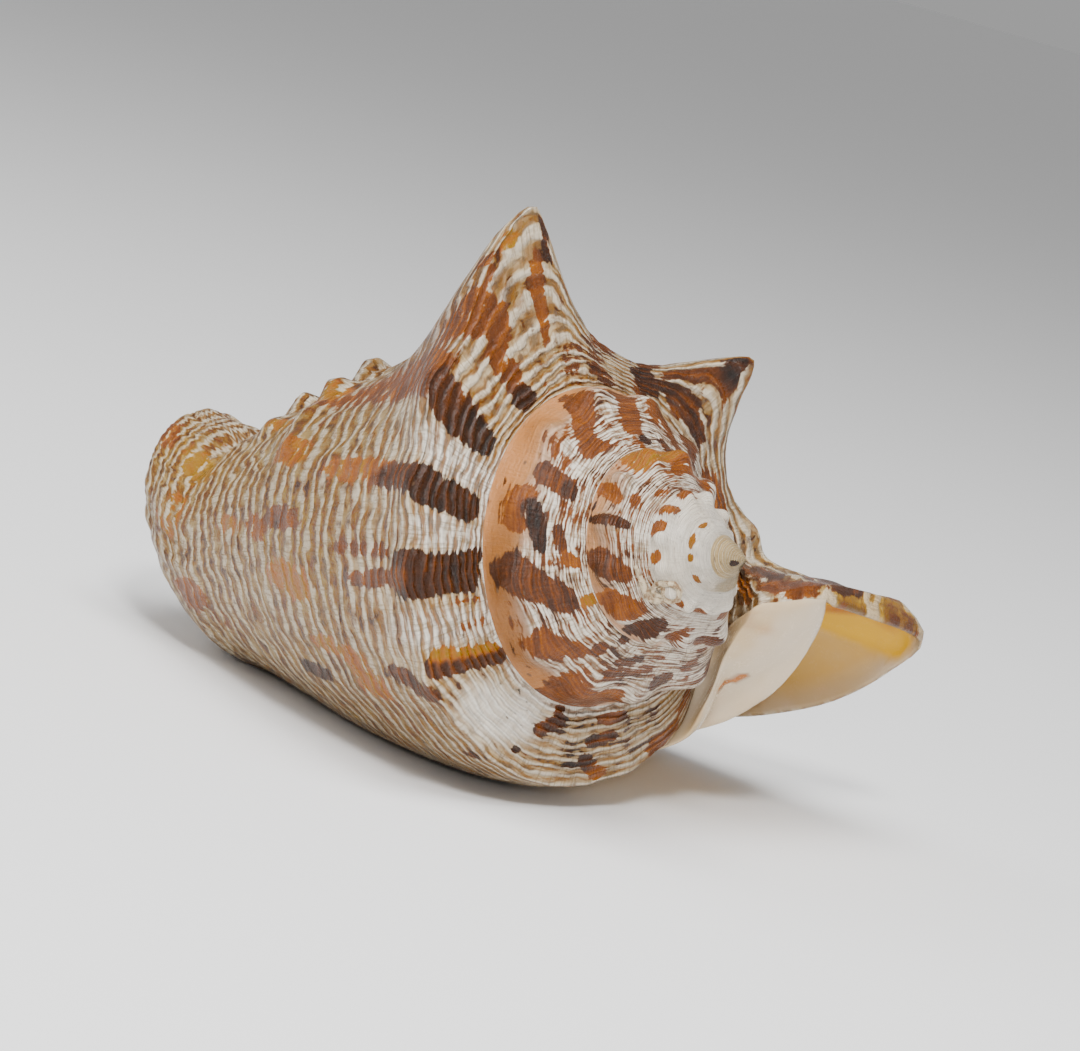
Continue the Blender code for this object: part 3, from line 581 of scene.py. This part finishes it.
def mouth_walls(depth, lip_places, inner_places):
    """Points of the outer and the inner wall of the mouth at a depth, from its rear end to its front end."""
    start = MARGIN_ROW + 2.2 * eased(depth, 0, COLUMN_TURN)
    end = END_ROW - 2.8 * (1 - (1 - min(depth / 35, 1)) ** 2)
    v = start + (lip_places - MARGIN_ROW) * (end - start) / (END_ROW - MARGIN_ROW)
    t = np.full_like(v, -depth)
    thick = LIP_THICKNESS + (WALL_THICKNESS - LIP_THICKNESS) * eased(depth, 0, WALL_TURN)
    thick = thick * (1 - 0.8 * eased(v, 13.5, END_ROW))
    thin = LIP_THIN * (1 - eased(depth, 0, LIP_THIN_TURN))
    thick = thick * (1 - thin * bell(v, LIP_THIN_ROW, LIP_THIN_SPREAD))
    wall = smooth_shell(t, v) - thick[:, None] * outward(t, v)
    share = (inner_places - inner_places[0]) / (inner_places[-1] - inner_places[0])
    first, last = -wall[0, 0], -wall[-1, 0]
    column_a = first + (last - first) * share
    column_r = through(column_a, COLUMN, 1) * (1 - 0.12 * depth / MOUTH_DEPTH)
    rows, rim_a, rim_r, rim_b = INNER_RIM
    k = eased(depth, 0, COLUMN_TURN)
    a = curve(inner_places, rows, rim_a) * (1 - k) + column_a * k
    r = curve(inner_places, rows, rim_r) * (1 - k) + column_r * k
    column = placed(a, r, LIP_BETA - depth + curve(inner_places, rows, rim_b) * (1 - k))
    inward = eased(depth, 0, 6)
    tip = wall[0] + (0.04 + 0.11 * eased(depth, 5, 30)) * (column[len(share) // 2] - wall[0]) * (0.01, 1, 1)
    column = column + (inward * (1 - eased(share, 0, 0.3)))[:, None] * (tip - column)
    if depth > 0:
        wall[0] = column[0] = tip
        far = np.hypot(*(wall[-1] - placed(last, 0.0, 0.0))[1:]) - r[-1]
        out = r[-1] + 0.4 * far * eased(depth, 5, 40) + 0.006
        wall[-1] = column[-1] = placed(last, out, LIP_BETA - depth)
    shut = eased(depth, MOUTH_DEPTH - SHUT_TURN, MOUTH_DEPTH) * SHUT
    middle = (wall.mean(axis=0) + column.mean(axis=0)) / 2
    return wall + shut * (middle - wall), column + shut * (middle - column)


def rest_turn():
    """The turn from the shell's own axes to how it lies, aperture down."""
    x, y = math.radians(REST_ROLL), math.radians(REST_PITCH)
    about_x = np.array([(1, 0, 0), (0, math.cos(x), -math.sin(x)), (0, math.sin(x), math.cos(x))])
    about_y = np.array([(math.cos(y), 0, math.sin(y)), (0, 1, 0), (-math.sin(y), 0, math.cos(y))])
    return about_y @ about_x


def fine_places(places, steps):
    """The rows of the solid with the given number of steps between neighbours."""
    out = [places[0]]
    for low, high in zip(places[:-1], places[1:]):
        out.extend(np.linspace(low, high, steps + 1)[1:])
    return np.array(out, float)


class Shape:
    """Points and faces, with the shell's own places kept for each face corner.

    A row is a pair: the numbers of its points, and the angle, place, arc and depth at each of them.
    """

    def __init__(self):
        self.points, self.marks, self.faces, self.corners = [], [], [], []

    def add(self, points, marks):
        first = sum(map(len, self.points))
        self.points.append(points)
        self.marks.append(marks)
        return np.arange(first, first + len(points)), marks

    def strip(self, a, b, flip=False):
        """Faces between two rows, facing out of the shell unless flipped."""
        for j in range(len(a[0]) - 1):
            corners = [(row[0][k], row[1][k]) for row, k in ((a, j), (a, j + 1), (b, j + 1), (b, j))]
            if not flip:
                corners.reverse()
            kept = [corner for n, corner in enumerate(corners) if corner[0] != corners[n - 1][0]]
            if len(kept) >= 3:
                self.faces.append([int(number) for number, _ in kept])
                self.corners.extend(mark for _, mark in kept)

    def cap(self, ring, mark):
        """One face over an open end."""
        self.faces.append([int(k) for k in ring[::-1]])
        self.corners.extend([mark] * len(ring))


def fine_shell(columns, spire_places, body_places, rings):
    """The same surface as the solid's, with many more points."""
    shape = Shape()
    places = np.concatenate([spire_places, body_places])
    count = TURNS * columns
    angles = (np.arange(count + 1) - count) * 360.0 / columns
    seam_i = len(spire_places) - 1
    margin_i = int(np.argmin(np.abs(spire_places - MARGIN_ROW)))
    t, v = np.meshgrid(angles, places, indexing="ij")
    points = lifted(t, v, smooth_shell(t, v))
    steps = np.linalg.norm(np.diff(points, axis=1), axis=-1)
    arc = np.concatenate([np.zeros((count + 1, 1)), np.cumsum(steps, axis=1)], axis=1)
    marks = np.stack([t, v, arc, np.zeros_like(t)], -1)
    apex = shape.add(np.zeros((1, 3)), marks[:1, 0])[0][0]
    front = shape.add(smooth_shell(np.zeros(1), np.full(1, END_ROW)), marks[-1:, -1])[0][0]
    grid = []
    for i in range(count + 1):
        n = len(places) if i >= count - columns else len(spire_places)
        row = shape.add(points[i, :n], marks[i, :n])[0]
        if i < columns:
            row[0] = apex
        else:
            grid[i - columns][seam_i] = row[0]
        if n == len(places):
            row[-1] = front
        grid.append(row)
    grid[-1 - columns][seam_i:seam_i + margin_i + 1] = grid[-1][:margin_i + 1]
    for i in range(count):
        n = min(len(grid[i]), len(grid[i + 1]))
        shape.strip((grid[i][:n], marks[i]), (grid[i + 1][:n], marks[i + 1]))
    shape.cap([apex, *grid[0][seam_i:0:-1]], marks[0, 0])
    lip = grid[-1][margin_i:], marks[-1, margin_i:]
    inner_i = seam_i + margin_i
    inner = grid[-1 - columns][inner_i:], marks[-1 - columns, inner_i:]
    mouth(shape, places[margin_i:], lip, places[inner_i:], inner, rings)
    return shape


def moved_in(row, angle, depth):
    """What is kept at a row's points, with another angle and depth."""
    marks = row[1].copy()
    marks[:, 0], marks[:, 3] = angle, depth
    return marks


def mouth(shape, lip_places, ring, inner_places, inner, rings):
    """The rounded edge of the lip and the walls of the mouth."""
    edge = smooth_shell(np.zeros_like(lip_places), lip_places)
    wall, _ = mouth_walls(0.0, lip_places, inner_places)
    ahead = edge - smooth_shell(np.full_like(lip_places, -1.5), lip_places)
    ahead = ahead / np.maximum(np.linalg.norm(ahead, axis=-1, keepdims=True), 1e-9)
    thick = np.linalg.norm(wall - edge, axis=-1, keepdims=True)
    for n in range(1, LIP_STEPS + 1):
        s = n / LIP_STEPS
        half = 0.5 - 0.5 * math.cos(math.pi * s)
        points = edge + half * (wall - edge) + LIP_ROUND * thick * math.sin(math.pi * s) * ahead
        new = shape.add(points, moved_in(ring, 0.0, s))
        new[0][[0, -1]] = ring[0][[0, -1]]
        shape.strip(ring, new)
        ring = new
    for depth in rings:
        wall, column = mouth_walls(depth, lip_places, inner_places)
        new = shape.add(wall, moved_in(ring, -depth, 1 + depth))
        new_inner = shape.add(column, moved_in(inner, -depth, 1 + depth))
        new_inner[0][[0, -1]] = new[0][[0, -1]]
        shape.strip(ring, new)
        shape.strip(inner, new_inner, flip=True)
        ring, inner = new, new_inner
    shape.cap([*ring[0], *inner[0][-2:0:-1]], ring[1][0])


def solid_placing():
    """Scale and offset that put the shell's own frame where the solid lies."""
    t = (np.arange(COLUMNS + 1) / COLUMNS - 1) * 360.0
    v = np.concatenate([SPIRE_PLACES, BODY_PLACES])
    t, v = np.meshgrid(t, v, indexing="ij")
    rows = lifted(t, v, smooth_shell(t, v)).reshape(-1, 3)
    rows = np.concatenate([rows, np.zeros((1, 3))])
    scale = LENGTH / np.ptp(rows[:, 0])
    turned = rows @ rest_turn().T * scale
    low, high = turned.min(axis=0), turned.max(axis=0)
    return scale, np.array([(low[0] + high[0]) / 2, (low[1] + high[1]) / 2, low[2] + FLAT_DEPTH])


def to_row(points, scale, offset):
    """Shell frame to metres in the row frame."""
    return np.asarray(points) @ rest_turn().T * scale - offset


def stroke(t, v, mark):
    """1 along a soft stroke between two places, 0 away from it."""
    t0, v0, t1, v1, half_t, half_v = mark[:6]
    x, y = (t - t0) / half_t, (v - v0) / half_v
    dx, dy = (t1 - t0) / half_t, (v1 - v0) / half_v
    k = np.clip((x * dx + y * dy) / max(dx * dx + dy * dy, 1e-9), 0, 1)
    return 1 - eased(np.hypot(x - k * dx, y - k * dy), 0.5, 1.4)


def back_half(t):
    """1 on the side of every whorl that carries the marks placed one by one, 0 on the far side."""
    beta = (LIP_BETA + t + SIGHT_TURN) % 360.0
    return eased(beta, 0, 18) * (1 - eased(beta, SIGHT_SPAN, SIGHT_SPAN + 22))


def blotches(t, v):
    """Irregular bars across the whorls, for the far side."""
    x = t / BAR_SPACING
    y = v * 0.9 + 0.8 * np.sin(0.35 * x)
    wave = np.sin(2 * np.pi * x + 1.1 * np.sin(y) + 0.9 * np.sin(1.7 * x))
    patch = np.sin(1.9 * y + 2.3 * np.sin(0.83 * x)) + 0.6 * np.sin(3.7 * y + 1.3 * x)
    return eased(0.75 * wave + 0.5 * patch, -0.1, 1.1)


def way_along(t):
    """Millimetres along the whorl to an angle."""
    return GROWTH_REACH * GROWTH ** (t / 360)


def cords(v):
    """The number of spiral cords passed between the seam and a place."""
    below = RAMP_CORDS * SHOULDER_ROW + BODY_CORDS * (v - SHOULDER_ROW)
    return np.where(v < SHOULDER_ROW, RAMP_CORDS * v, below)


def painted(t, v, depth):
    """Brown's amount and tone, ground, stain, and how much is inside, threaded and smooth, at places."""
    threads = 1 - eased(t, *LAST_WHORL)
    amount = (1 - back_half(t)) * 0.95 * blotches(t, v) * (1 - 0.4 * eased(v, 9, 15))
    amount = np.maximum(amount, SCATTER + SPIRE_SCATTER * threads * eased(t, -1050, -950))
    amount = amount * (1 - 0.9 * (1 - eased(t, -1200, -1050)))
    tone = np.full_like(t, 0.55) + 0.12 * np.sin(0.11 * t + v)
    for mark in MARKS:
        grow = MARK_GROWTH if mark[0] < LAST_WHORL[0] else BAR_GROWTH
        k = stroke(t, v, mark[:4] + (mark[4] * grow[0], mark[5] * grow[1]))
        amount = np.maximum(amount, k * mark[6])
        tone = tone + eased(k, 0.0, 0.5) * (mark[7] - tone)
    ground = np.broadcast_to(np.array(WHITE), t.shape + (3,)).copy()
    spire = (eased(t, -1800, -1650) * threads)[..., None]
    ground = ground + 0.8 * spire * (np.array(CORD_WHITE) - ground)
    smooth = np.zeros_like(t)
    for mark in GROUNDS:
        k = stroke(t, v, mark) * mark[6]
        ground = ground + k[..., None] * (np.array(mark[7]) - ground)
        if mark[7] == CORD_WHITE:
            amount = amount - 0.3 * k
        if mark[7] == PEACH:
            amount = amount - 0.15 * k
            smooth = np.maximum(smooth, k)
    stain = 0.85 + 0.15 * eased(v, 6, 8) - 0.65 * (1 - eased(t, -1150, -900))
    for mark in STAINS:
        stain = stain + stroke(t, v, mark) * (mark[6] - stain)
    parietal = eased(v, 6.25, 6.6) * (1 - eased(t, -322, -300)) * (t > -361)
    inside = np.maximum(eased(depth, 0.25, 0.9), parietal)
    return amount, tone, ground, stain * (1 - 0.75 * smooth), inside, threads, smooth


def relief(t, v, depth):
    """Height in millimetres of the growth ridges, the beads along the seam and the lamellae of the wing."""
    s = way_along(t)
    out = (depth <= 0) * eased(v, 0.0, 0.3)
    late = eased(t, -760, -420)
    bead = (0.5 + 0.5 * np.cos(2 * np.pi * s / BEAD_SPACING)) * bell(v, 0.55, 0.4)
    lines = np.sin(GROWTH_RATE * s + 1.5 * np.sin(0.31 * s) + 0.5 * v)
    lines = lines * (0.5 + 0.5 * np.sin(0.23 * s + 0.6 * v))
    fine = np.sin(FINE_RATE * s + 2 * np.sin(0.9 * s) + 0.8 * v)
    wing = eased(t, -26, -6) * bell(v, 4.4, 1.1) * eased(-t, 0, 1.5)
    lamella = np.maximum(np.sin(LAMELLA_RATE * s + 1.3 * np.sin(0.7 * s) + 2.0 * v), 0) ** 3
    node = node_wave(t) * bell(v, NODE_ROW, 0.9)
    node = node * eased(t, -1500, -1300) * (1 - eased(t, -800, -600))
    height = BEAD_HEIGHT * bead * late + EARLY_NODE_HEIGHT * node
    height = height + (0.5 + late) * (GROWTH_HEIGHT * lines + FINE_HEIGHT * fine)
    return out * (height + LAMELLA_HEIGHT * wing * lamella)


def inner_colours(points):
    """Colour and weight of the marks inside the lip and on the callus, at places in millimetres."""
    colour = np.zeros((len(points), 3))
    weight = np.zeros(len(points))
    for start, end, radius, amount, tint in INNER_MARKS:
        start, end = np.array(start), np.array(end)
        way = end - start
        k = np.clip((points - start) @ way / (way @ way), 0, 1)
        off = np.linalg.norm(points - start - k[:, None] * way, axis=1) / radius
        share = amount * (1 - eased(off, 0.3, 1.5))
        stronger = share > weight
        colour[stronger] = tint
        weight = np.maximum(weight, share)
    return colour, weight


def added(name, data):
    """An object of some data, in the scene."""
    made = bpy.data.objects.new(name, data)
    bpy.context.scene.collection.objects.link(made)
    return made


def smooth_object(name, mesh):
    """A smooth-shaded object of a mesh, in the scene."""
    mesh.polygons.foreach_set("use_smooth", [True] * len(mesh.polygons))
    mesh.update()
    return added(name, mesh)


def shell_object(scale, offset):
    """The fine surface with its relief, and what the material reads at every face corner."""
    rings = MOUTH_DEPTH * (np.arange(1, FINE_RINGS + 1) / FINE_RINGS) ** RING_POWER
    spire = fine_places(SPIRE_PLACES, SPIRE_STEPS)
    flap_end = BODY_PLACES.index(MARGIN_ROW + SEAM_ROW)
    flap = fine_places((SEAM_ROW,) + BODY_PLACES[:flap_end + 1], SPIRE_STEPS)[1:]
    body = fine_places(BODY_PLACES[flap_end:], BODY_STEPS)[1:]
    shape = fine_shell(FINE_COLUMNS, spire, np.concatenate([flap, body]), rings)
    points = np.concatenate(shape.points)
    places = np.concatenate(shape.marks)
    used = np.unique(np.concatenate([np.asarray(face) for face in shape.faces]))
    index = np.full(len(points), -1)
    index[used] = np.arange(len(used))
    points = to_row(points[used], scale, offset)
    mesh = bpy.data.meshes.new("shell_surface")
    mesh.from_pydata([tuple(p) for p in points], [], [[int(index[k]) for k in face] for face in shape.faces])
    mesh.update()
    normals = np.empty(len(points) * 3, np.float32)
    mesh.vertices.foreach_get("normal", normals)
    t, v, _, depth = places[used].T
    points = points + (relief(t, v, depth) * 0.001)[:, None] * normals.reshape(-1, 3)
    points[:, 2] = np.maximum(points[:, 2], 0.0)
    mesh.vertices.foreach_set("co", points.astype(np.float32).ravel())
    t, v, arc, depth = np.array(shape.corners).T
    amount, tone, ground, stain, inside, threads, smooth = painted(t, v, depth)
    along = way_along(t)
    keep(mesh, "run", np.stack([along, arc * scale * 1000, cords(v)], -1))
    keep(mesh, "paint", np.stack([amount, tone, stain], -1))
    keep(mesh, "ground", ground)
    keep(mesh, "kind", np.stack([inside, threads, depth], -1))
    corners = np.empty(len(mesh.loops), np.int32)
    mesh.loops.foreach_get("vertex_index", corners)
    tint, weight = inner_colours(points * 1000)
    keep(mesh, "tint", tint[corners])
    keep(mesh, "spot", np.stack([weight[corners], v, smooth], -1))
    return smooth_object("shell_surface", mesh)


def keep(mesh, name, rows):
    """Store three values for each face corner."""
    layer = mesh.attributes.new(name, "FLOAT_VECTOR", "CORNER")
    layer.data.foreach_set("vector", np.ascontiguousarray(rows, np.float32).ravel())


class Nodes:
    """Short ways to add the nodes of one material."""

    def __init__(self, name):
        self.material = bpy.data.materials.new(name)
        self.material.use_nodes = True
        self.tree = self.material.node_tree
        self.shader = self.tree.nodes["Principled BSDF"]

    def link(self, value, socket):
        if isinstance(value, (int, float, tuple)):
            socket.default_value = value
        else:
            self.tree.links.new(value, socket)

    def new(self, kind, *items, **named):
        """A node with its first sockets, and those named, fed."""
        node = self.tree.nodes.new("ShaderNode" + kind)
        for socket, item in zip(node.inputs, items):
            self.link(item, socket)
        for name, item in named.items():
            self.link(item, node.inputs[name])
        return node

    def feed(self, name, value):
        """A value or a link for a socket of the shader itself."""
        self.link(value, self.shader.inputs[name])

    def value(self, operation, *items, clamp=False):
        node = self.new("Math", *items)
        node.operation, node.use_clamp = operation, clamp
        return node.outputs[0]

    def times(self, a, b):
        return self.value("MULTIPLY", a, b)

    def line(self, value, gain, shift):
        return self.value("MULTIPLY_ADD", value, gain, shift)

    def plus(self, first, *others, clamp=False):
        """A sum, of which only the last step is kept between 0 and 1."""
        for k, item in enumerate(others, 1):
            first = self.value("ADD", first, item, clamp=clamp and k == len(others))
        return first

    def less(self, value, clamp=False):
        """What is left of 1."""
        return self.value("SUBTRACT", 1.0, value, clamp=clamp)

    def step(self, value, low, high, start=0.0, end=1.0):
        node = self.new("MapRange", value, low, high, start, end)
        node.interpolation_type = "SMOOTHSTEP"
        return node.outputs[0]

    def parts(self, name):
        """The three values of an attribute, and the attribute as one vector."""
        node = self.new("Attribute")
        node.attribute_name = name
        vector = node.outputs["Vector"]
        return *self.new("SeparateXYZ", vector).outputs, vector

    def vector(self, x, y, z=0.0):
        return self.new("CombineXYZ", x, y, z).outputs[0]

    def noise(self, vector, scale, detail=2.0, roughness=0.5, distortion=0.0):
        named = {"Scale": scale, "Detail": detail, "Roughness": roughness, "Distortion": distortion}
        return self.new("TexNoise", Vector=vector, **named).outputs[0]

    def cells(self, vector):
        return self.new("TexVoronoi", Vector=vector, Scale=1.0).outputs["Distance"]

    def mix(self, factor, a, b, kind="MIX"):
        node = self.new("Mix", factor)
        node.data_type, node.blend_type = "RGBA", kind
        for socket, item in zip(node.inputs[6:8], (a, b)):
            self.link((*item, 1.0) if isinstance(item, tuple) else item, socket)
        return node.outputs[2]

    def ramp(self, value, stops):
        node = self.new("ValToRGB", value)
        colours = node.color_ramp.elements
        while len(colours) < len(stops):
            colours.new(0.5)
        for item, (place, colour) in zip(colours, stops):
            item.position, item.color = place, (*colour, 1.0)
        return node.outputs[0]

    def vivid(self, colour, saturation):
        return self.new("HueSaturation", Saturation=saturation, Color=colour).outputs[0]

    def object_millimetres(self):
        node = self.new("VectorMath", self.new("TexCoord").outputs["Object"])
        node.operation = "SCALE"
        node.inputs["Scale"].default_value = 1000.0
        return node.outputs[0]

    def bump(self, height, distance=CORD_HEIGHT):
        return self.new("Bump", Strength=1.0, Distance=distance, Height=height).outputs[0]

    def wave(self, value):
        """A cosine between 0 and 1 with one crest for each whole number."""
        return self.line(self.value("COSINE", self.times(value, 2 * math.pi)), 0.5, 0.5)


def crust(shell, material):
    """The coiled worm tube that is cemented on near the tip."""
    tree = BVHTree.FromObject(shell, bpy.context.evaluated_depsgraph_get())
    middle = Vector(CRUST_MIDDLE) * 0.001
    right, up = Vector(CRUST_RIGHT), Vector(CRUST_UP)
    route = []
    for k in range(CRUST_STEPS + 1):
        f = k / CRUST_STEPS
        turn = math.radians(CRUST_TURNS * 360 * f + CRUST_FIRST_ANGLE)
        far = 0.001 * (CRUST_COIL[0] + CRUST_COIL[1] * f)
        route.append(middle + far * (CRUST_WIDE * math.cos(turn) * right + math.sin(turn) * up))
    out = Vector(CRUST_END) * 0.001 - route[-1]
    route += [route[-1] + out * (k / CRUST_TAIL) for k in range(1, CRUST_TAIL + 1)]
    laid_on = [tree.find_nearest(place)[:2] for place in route]
    points, faces = [], []
    sides, last = CRUST_SIDES, len(laid_on) - 1
    for k, (hit, normal) in enumerate(laid_on):
        ahead = laid_on[min(k + 1, last)][0] - laid_on[max(k - 1, 0)][0]
        side = ahead.cross(normal).normalized()
        radius = 0.001 * (CRUST_RADIUS[0] + CRUST_RADIUS[1] * min(k / CRUST_STEPS, 1.0))
        radius = radius * (1 + CRUST_WAVY[0] * math.sin(CRUST_WAVY[1] * k))
        if k > CRUST_STEPS:
            radius *= 1 - CRUST_TAPER * (k - CRUST_STEPS) / CRUST_TAIL
        for m in range(sides):
            turn = 2 * math.pi * m / sides
            risen = hit + normal * radius * (CRUST_RAISED + math.sin(turn))
            points.append(risen + side * radius * math.cos(turn))
            if k < last:
                a, b = sides * k + m, sides * k + (m + 1) % sides
                faces.append((a, b, b + sides, a + sides))
    faces.append(tuple(range(sides - 1, -1, -1)))
    faces.append(tuple(sides * last + m for m in range(sides)))
    mesh = bpy.data.meshes.new("worm_tube")
    mesh.from_pydata([tuple(p) for p in points], [], faces)
    mesh.materials.append(material)
    return smooth_object("worm_tube", mesh)


def crust_material():
    """Dull, chalky cream with brown dirt."""
    n = Nodes("worm_tube")
    space = n.object_millimetres()
    dirt = n.noise(space, 1.6, 4.0, 0.6)
    rings = n.noise(space, 5.0, 3.0, 0.6)
    n.feed("Base Color", n.mix(n.step(dirt, 0.42, 0.62), CRUST_CHALK, CRUST_DIRT))
    n.feed("Roughness", n.step(rings, 0.2, 0.8, 0.45, 0.75))
    n.feed("Normal", n.bump(rings, CRUST_HEIGHT))
    return n.material


def shell_material():
    """Enamelled, corded, brown-blotched outside and a glossy cream inside."""
    n = Nodes("shell_surface")
    times, line, plus, step, mix = n.times, n.line, n.plus, n.step, n.mix
    along, across, cord_count, _ = n.parts("run")
    amount, tone, stain, _ = n.parts("paint")
    inside, threads, depth, _ = n.parts("kind")
    tinted, _, smooth, _ = n.parts("spot")
    tint_colour = n.parts("tint")[3]
    ground = n.parts("ground")[3]
    space = n.object_millimetres()

    def laid(gain, other, other_gain, shift=0.0):
        """A place on the shell's own map: millimetres along the whorl, and across it or in cords."""
        return n.vector(times(along, gain), times(other, other_gain), shift)

    wobble = n.noise(laid(0.3, across, 0.3), 1.0, 3.0)
    count = plus(cord_count, line(wobble, 1.8, -0.9))
    crest, thread = n.wave(count), n.wave(times(count, 2.0))
    ridge = plus(times(crest, line(threads, -0.65, 1.0)), times(thread, line(threads, 0.35, 0.2)))
    ridge = times(ridge, line(smooth, -0.75, 1.0))
    gap = n.less(ridge, clamp=True)

    streak = n.noise(laid(0.3, count, 1.3), 1.0, 3.0, 0.6)
    short = n.noise(laid(0.75, count, 2.1, 7.0), 1.0, 2.0, 0.6)
    patch = n.noise(laid(0.8, across, 0.55, 3.0), 1.0, 4.0, 0.6, 0.4)
    growth = n.noise(laid(5.0, across, 0.3, 11.0), 1.0, 3.0, 0.6)
    grain = n.noise(space, 3.2, 3.0, 0.65)
    cloud = n.noise(space, 0.16, 3.0, 0.55)

    # The marks, broken up along the cords, darker in the gaps.
    uneven = plus(line(patch, 1.3, -0.65), line(streak, 1.2, -0.6), line(short, 0.9, -0.45))
    uneven = plus(uneven, line(gap, 0.26, -0.11))
    brown = step(plus(amount, uneven), *BROWN_EDGE)
    tint = plus(tone, line(streak, 0.8, -0.4), line(gap, 0.22, -0.1), line(growth, 0.3, -0.15), clamp=True)
    pigment = n.ramp(tint, PIGMENTS)

    # The light ground with its white cords, stained gaps, growth lines and dark specks.
    light = mix(step(cloud, 0.35, 0.7, 0.0, 0.35), ground, CREAM_SHADE, "MULTIPLY")
    light = mix(step(ridge, 0.5, 0.95, 0.0, 0.55), light, mix(0.6, ground, CORD_WHITE))
    stained = plus(times(gap, 0.36), times(streak, 1.1), short)
    stained = times(step(stained, 1.02, 1.42), stain)
    light = mix(stained, light, n.ramp(step(short, 0.3, 0.7), STAIN_COLOURS))
    light = mix(times(step(growth, 0.48, 0.64), times(stain, 0.6)), light, GROWTH_COLOUR)
    outer = mix(brown, light, pigment)
    specks = step(n.cells(n.vector(times(along, 0.9), count)), 0.1, 0.2)
    outer = mix(times(n.less(specks), step(short, 0.45, 0.6, 0.0, 0.8)), outer, SPECK_COLOUR)

    # The enamel inside the lip and on the callus.
    cream = mix(step(depth, 0.3, 6.0), INNER_CREAM, INNER_WALL)
    cream = mix(step(n.noise(space, 0.11), 0.4, 0.7, 0.0, 0.6), cream, INNER_WARM)
    smudge = n.noise(n.vector(along, times(across, 0.15), 2.0), 0.6)
    cream = mix(step(smudge, 0.62, 0.8, 0.0, 0.35), cream, INNER_SMUDGE)
    cream = mix(step(line(streak, 0.3, tinted), 0.2, 0.9), cream, tint_colour)
    n.feed("Base Color", n.vivid(mix(inside, outer, cream), VIVID))

    rough = plus(line(grain, ROUGH_GRAIN, ROUGH_LEAST), times(gap, ROUGH_GAP))
    n.feed("Roughness", n.value("SUBTRACT", rough, times(inside, ROUGH_INSIDE)))
    n.feed("Coat Weight", COAT_WEIGHT)
    n.feed("Coat Roughness", COAT_ROUGHNESS)
    n.feed("IOR", ENAMEL_IOR)
    n.feed("Specular IOR Level", ENAMEL_SPECULAR)

    # The bump: cords, growth lines and grain, with a finer one in the coat.
    outside = n.less(inside)
    low_body = step(cord_count, 12.0, 22.0)
    height = times(times(ridge, line(threads, -0.45, 0.75)), line(low_body, -0.35, 1.0))
    height = times(plus(height, times(growth, 0.4), times(short, 0.35)), outside)
    height = plus(height, times(grain, line(outside, 0.3, 0.03)), times(cloud, 0.5))
    n.feed("Normal", n.bump(height))
    n.feed("Coat Normal", n.bump(line(times(grain, outside), 1.1, times(height, 0.6))))
    return n.material


def camera(scale, offset):
    """The photograph's camera, turned in place so that the tip falls on its pixel."""
    azimuth, elevation = math.radians(VIEW_AZIMUTH), math.radians(VIEW_ELEVATION)
    right = np.array([math.cos(azimuth), math.sin(azimuth), 0.0])
    level = math.cos(elevation)
    toward = np.array([math.sin(azimuth) * level, -math.cos(azimuth) * level, math.sin(elevation)])
    up = np.cross(toward, right)
    focal = VIEW_SCALE * VIEW_DISTANCE
    yaw = math.atan((TIP_PIXEL[0] - FRAME_PIXELS[0] / 2) / focal)
    pitch = math.atan((TIP_PIXEL[1] - FRAME_PIXELS[1] / 2) / focal)
    toward_2 = math.cos(yaw) * toward + math.sin(yaw) * right
    right_2 = math.cos(yaw) * right - math.sin(yaw) * toward
    toward_3 = math.cos(pitch) * toward_2 - math.sin(pitch) * up
    up_3 = math.cos(pitch) * up + math.sin(pitch) * toward_2
    turn = rest_turn()
    place = to_row(toward * VIEW_DISTANCE, scale, offset)
    axes = np.stack([turn @ right_2, turn @ up_3, turn @ toward_3], 1)
    data = bpy.data.cameras.new("camera")
    data.sensor_fit = "HORIZONTAL"
    data.sensor_width = SENSOR
    data.lens = focal * SENSOR / FRAME_PIXELS[0]
    data.clip_start = CLIP_START
    view = added("camera", data)
    view.matrix_world = Matrix.Translation(Vector(place)) @ Matrix(axes.tolist()).to_4x4()
    bpy.context.scene.camera = view


def stage():
    """A plain pale floor and a white surround."""
    mesh = bpy.data.meshes.new("floor")
    corners = [(FLOOR_HALF * x, FLOOR_HALF * y, 0) for x, y in ((-1, -1), (1, -1), (1, 1), (-1, 1))]
    mesh.from_pydata(corners, [], [(0, 1, 2, 3)])
    n = Nodes("pale_floor")
    n.feed("Base Color", FLOOR_COLOUR)
    n.feed("Roughness", FLOOR_ROUGHNESS)
    mesh.materials.append(n.material)
    added("floor", mesh)
    world = bpy.data.worlds.new("studio")
    world.use_nodes = True
    sky = world.node_tree.nodes["Background"].inputs
    sky["Color"].default_value = (1, 1, 1, 1)
    sky["Strength"].default_value = WORLD_STRENGTH
    bpy.context.scene.world = world


def area_light(name, place, size, power):
    """A square soft light that faces the shell."""
    data = bpy.data.lights.new(name, "AREA")
    data.size, data.energy = size, power
    light = added(name, data)
    light.location = place
    light.rotation_euler = (Vector(LIGHT_TARGET) - Vector(place)).to_track_quat("-Z", "Y").to_euler()


scale, offset = solid_placing()
shell = shell_object(scale, offset)
shell.data.materials.append(shell_material())
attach(shell, "root")
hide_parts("shell")
tube = crust(shell, crust_material())
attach(tube, "root")
camera(scale, offset)
stage()
for light in LIGHTS:
    area_light(*light)
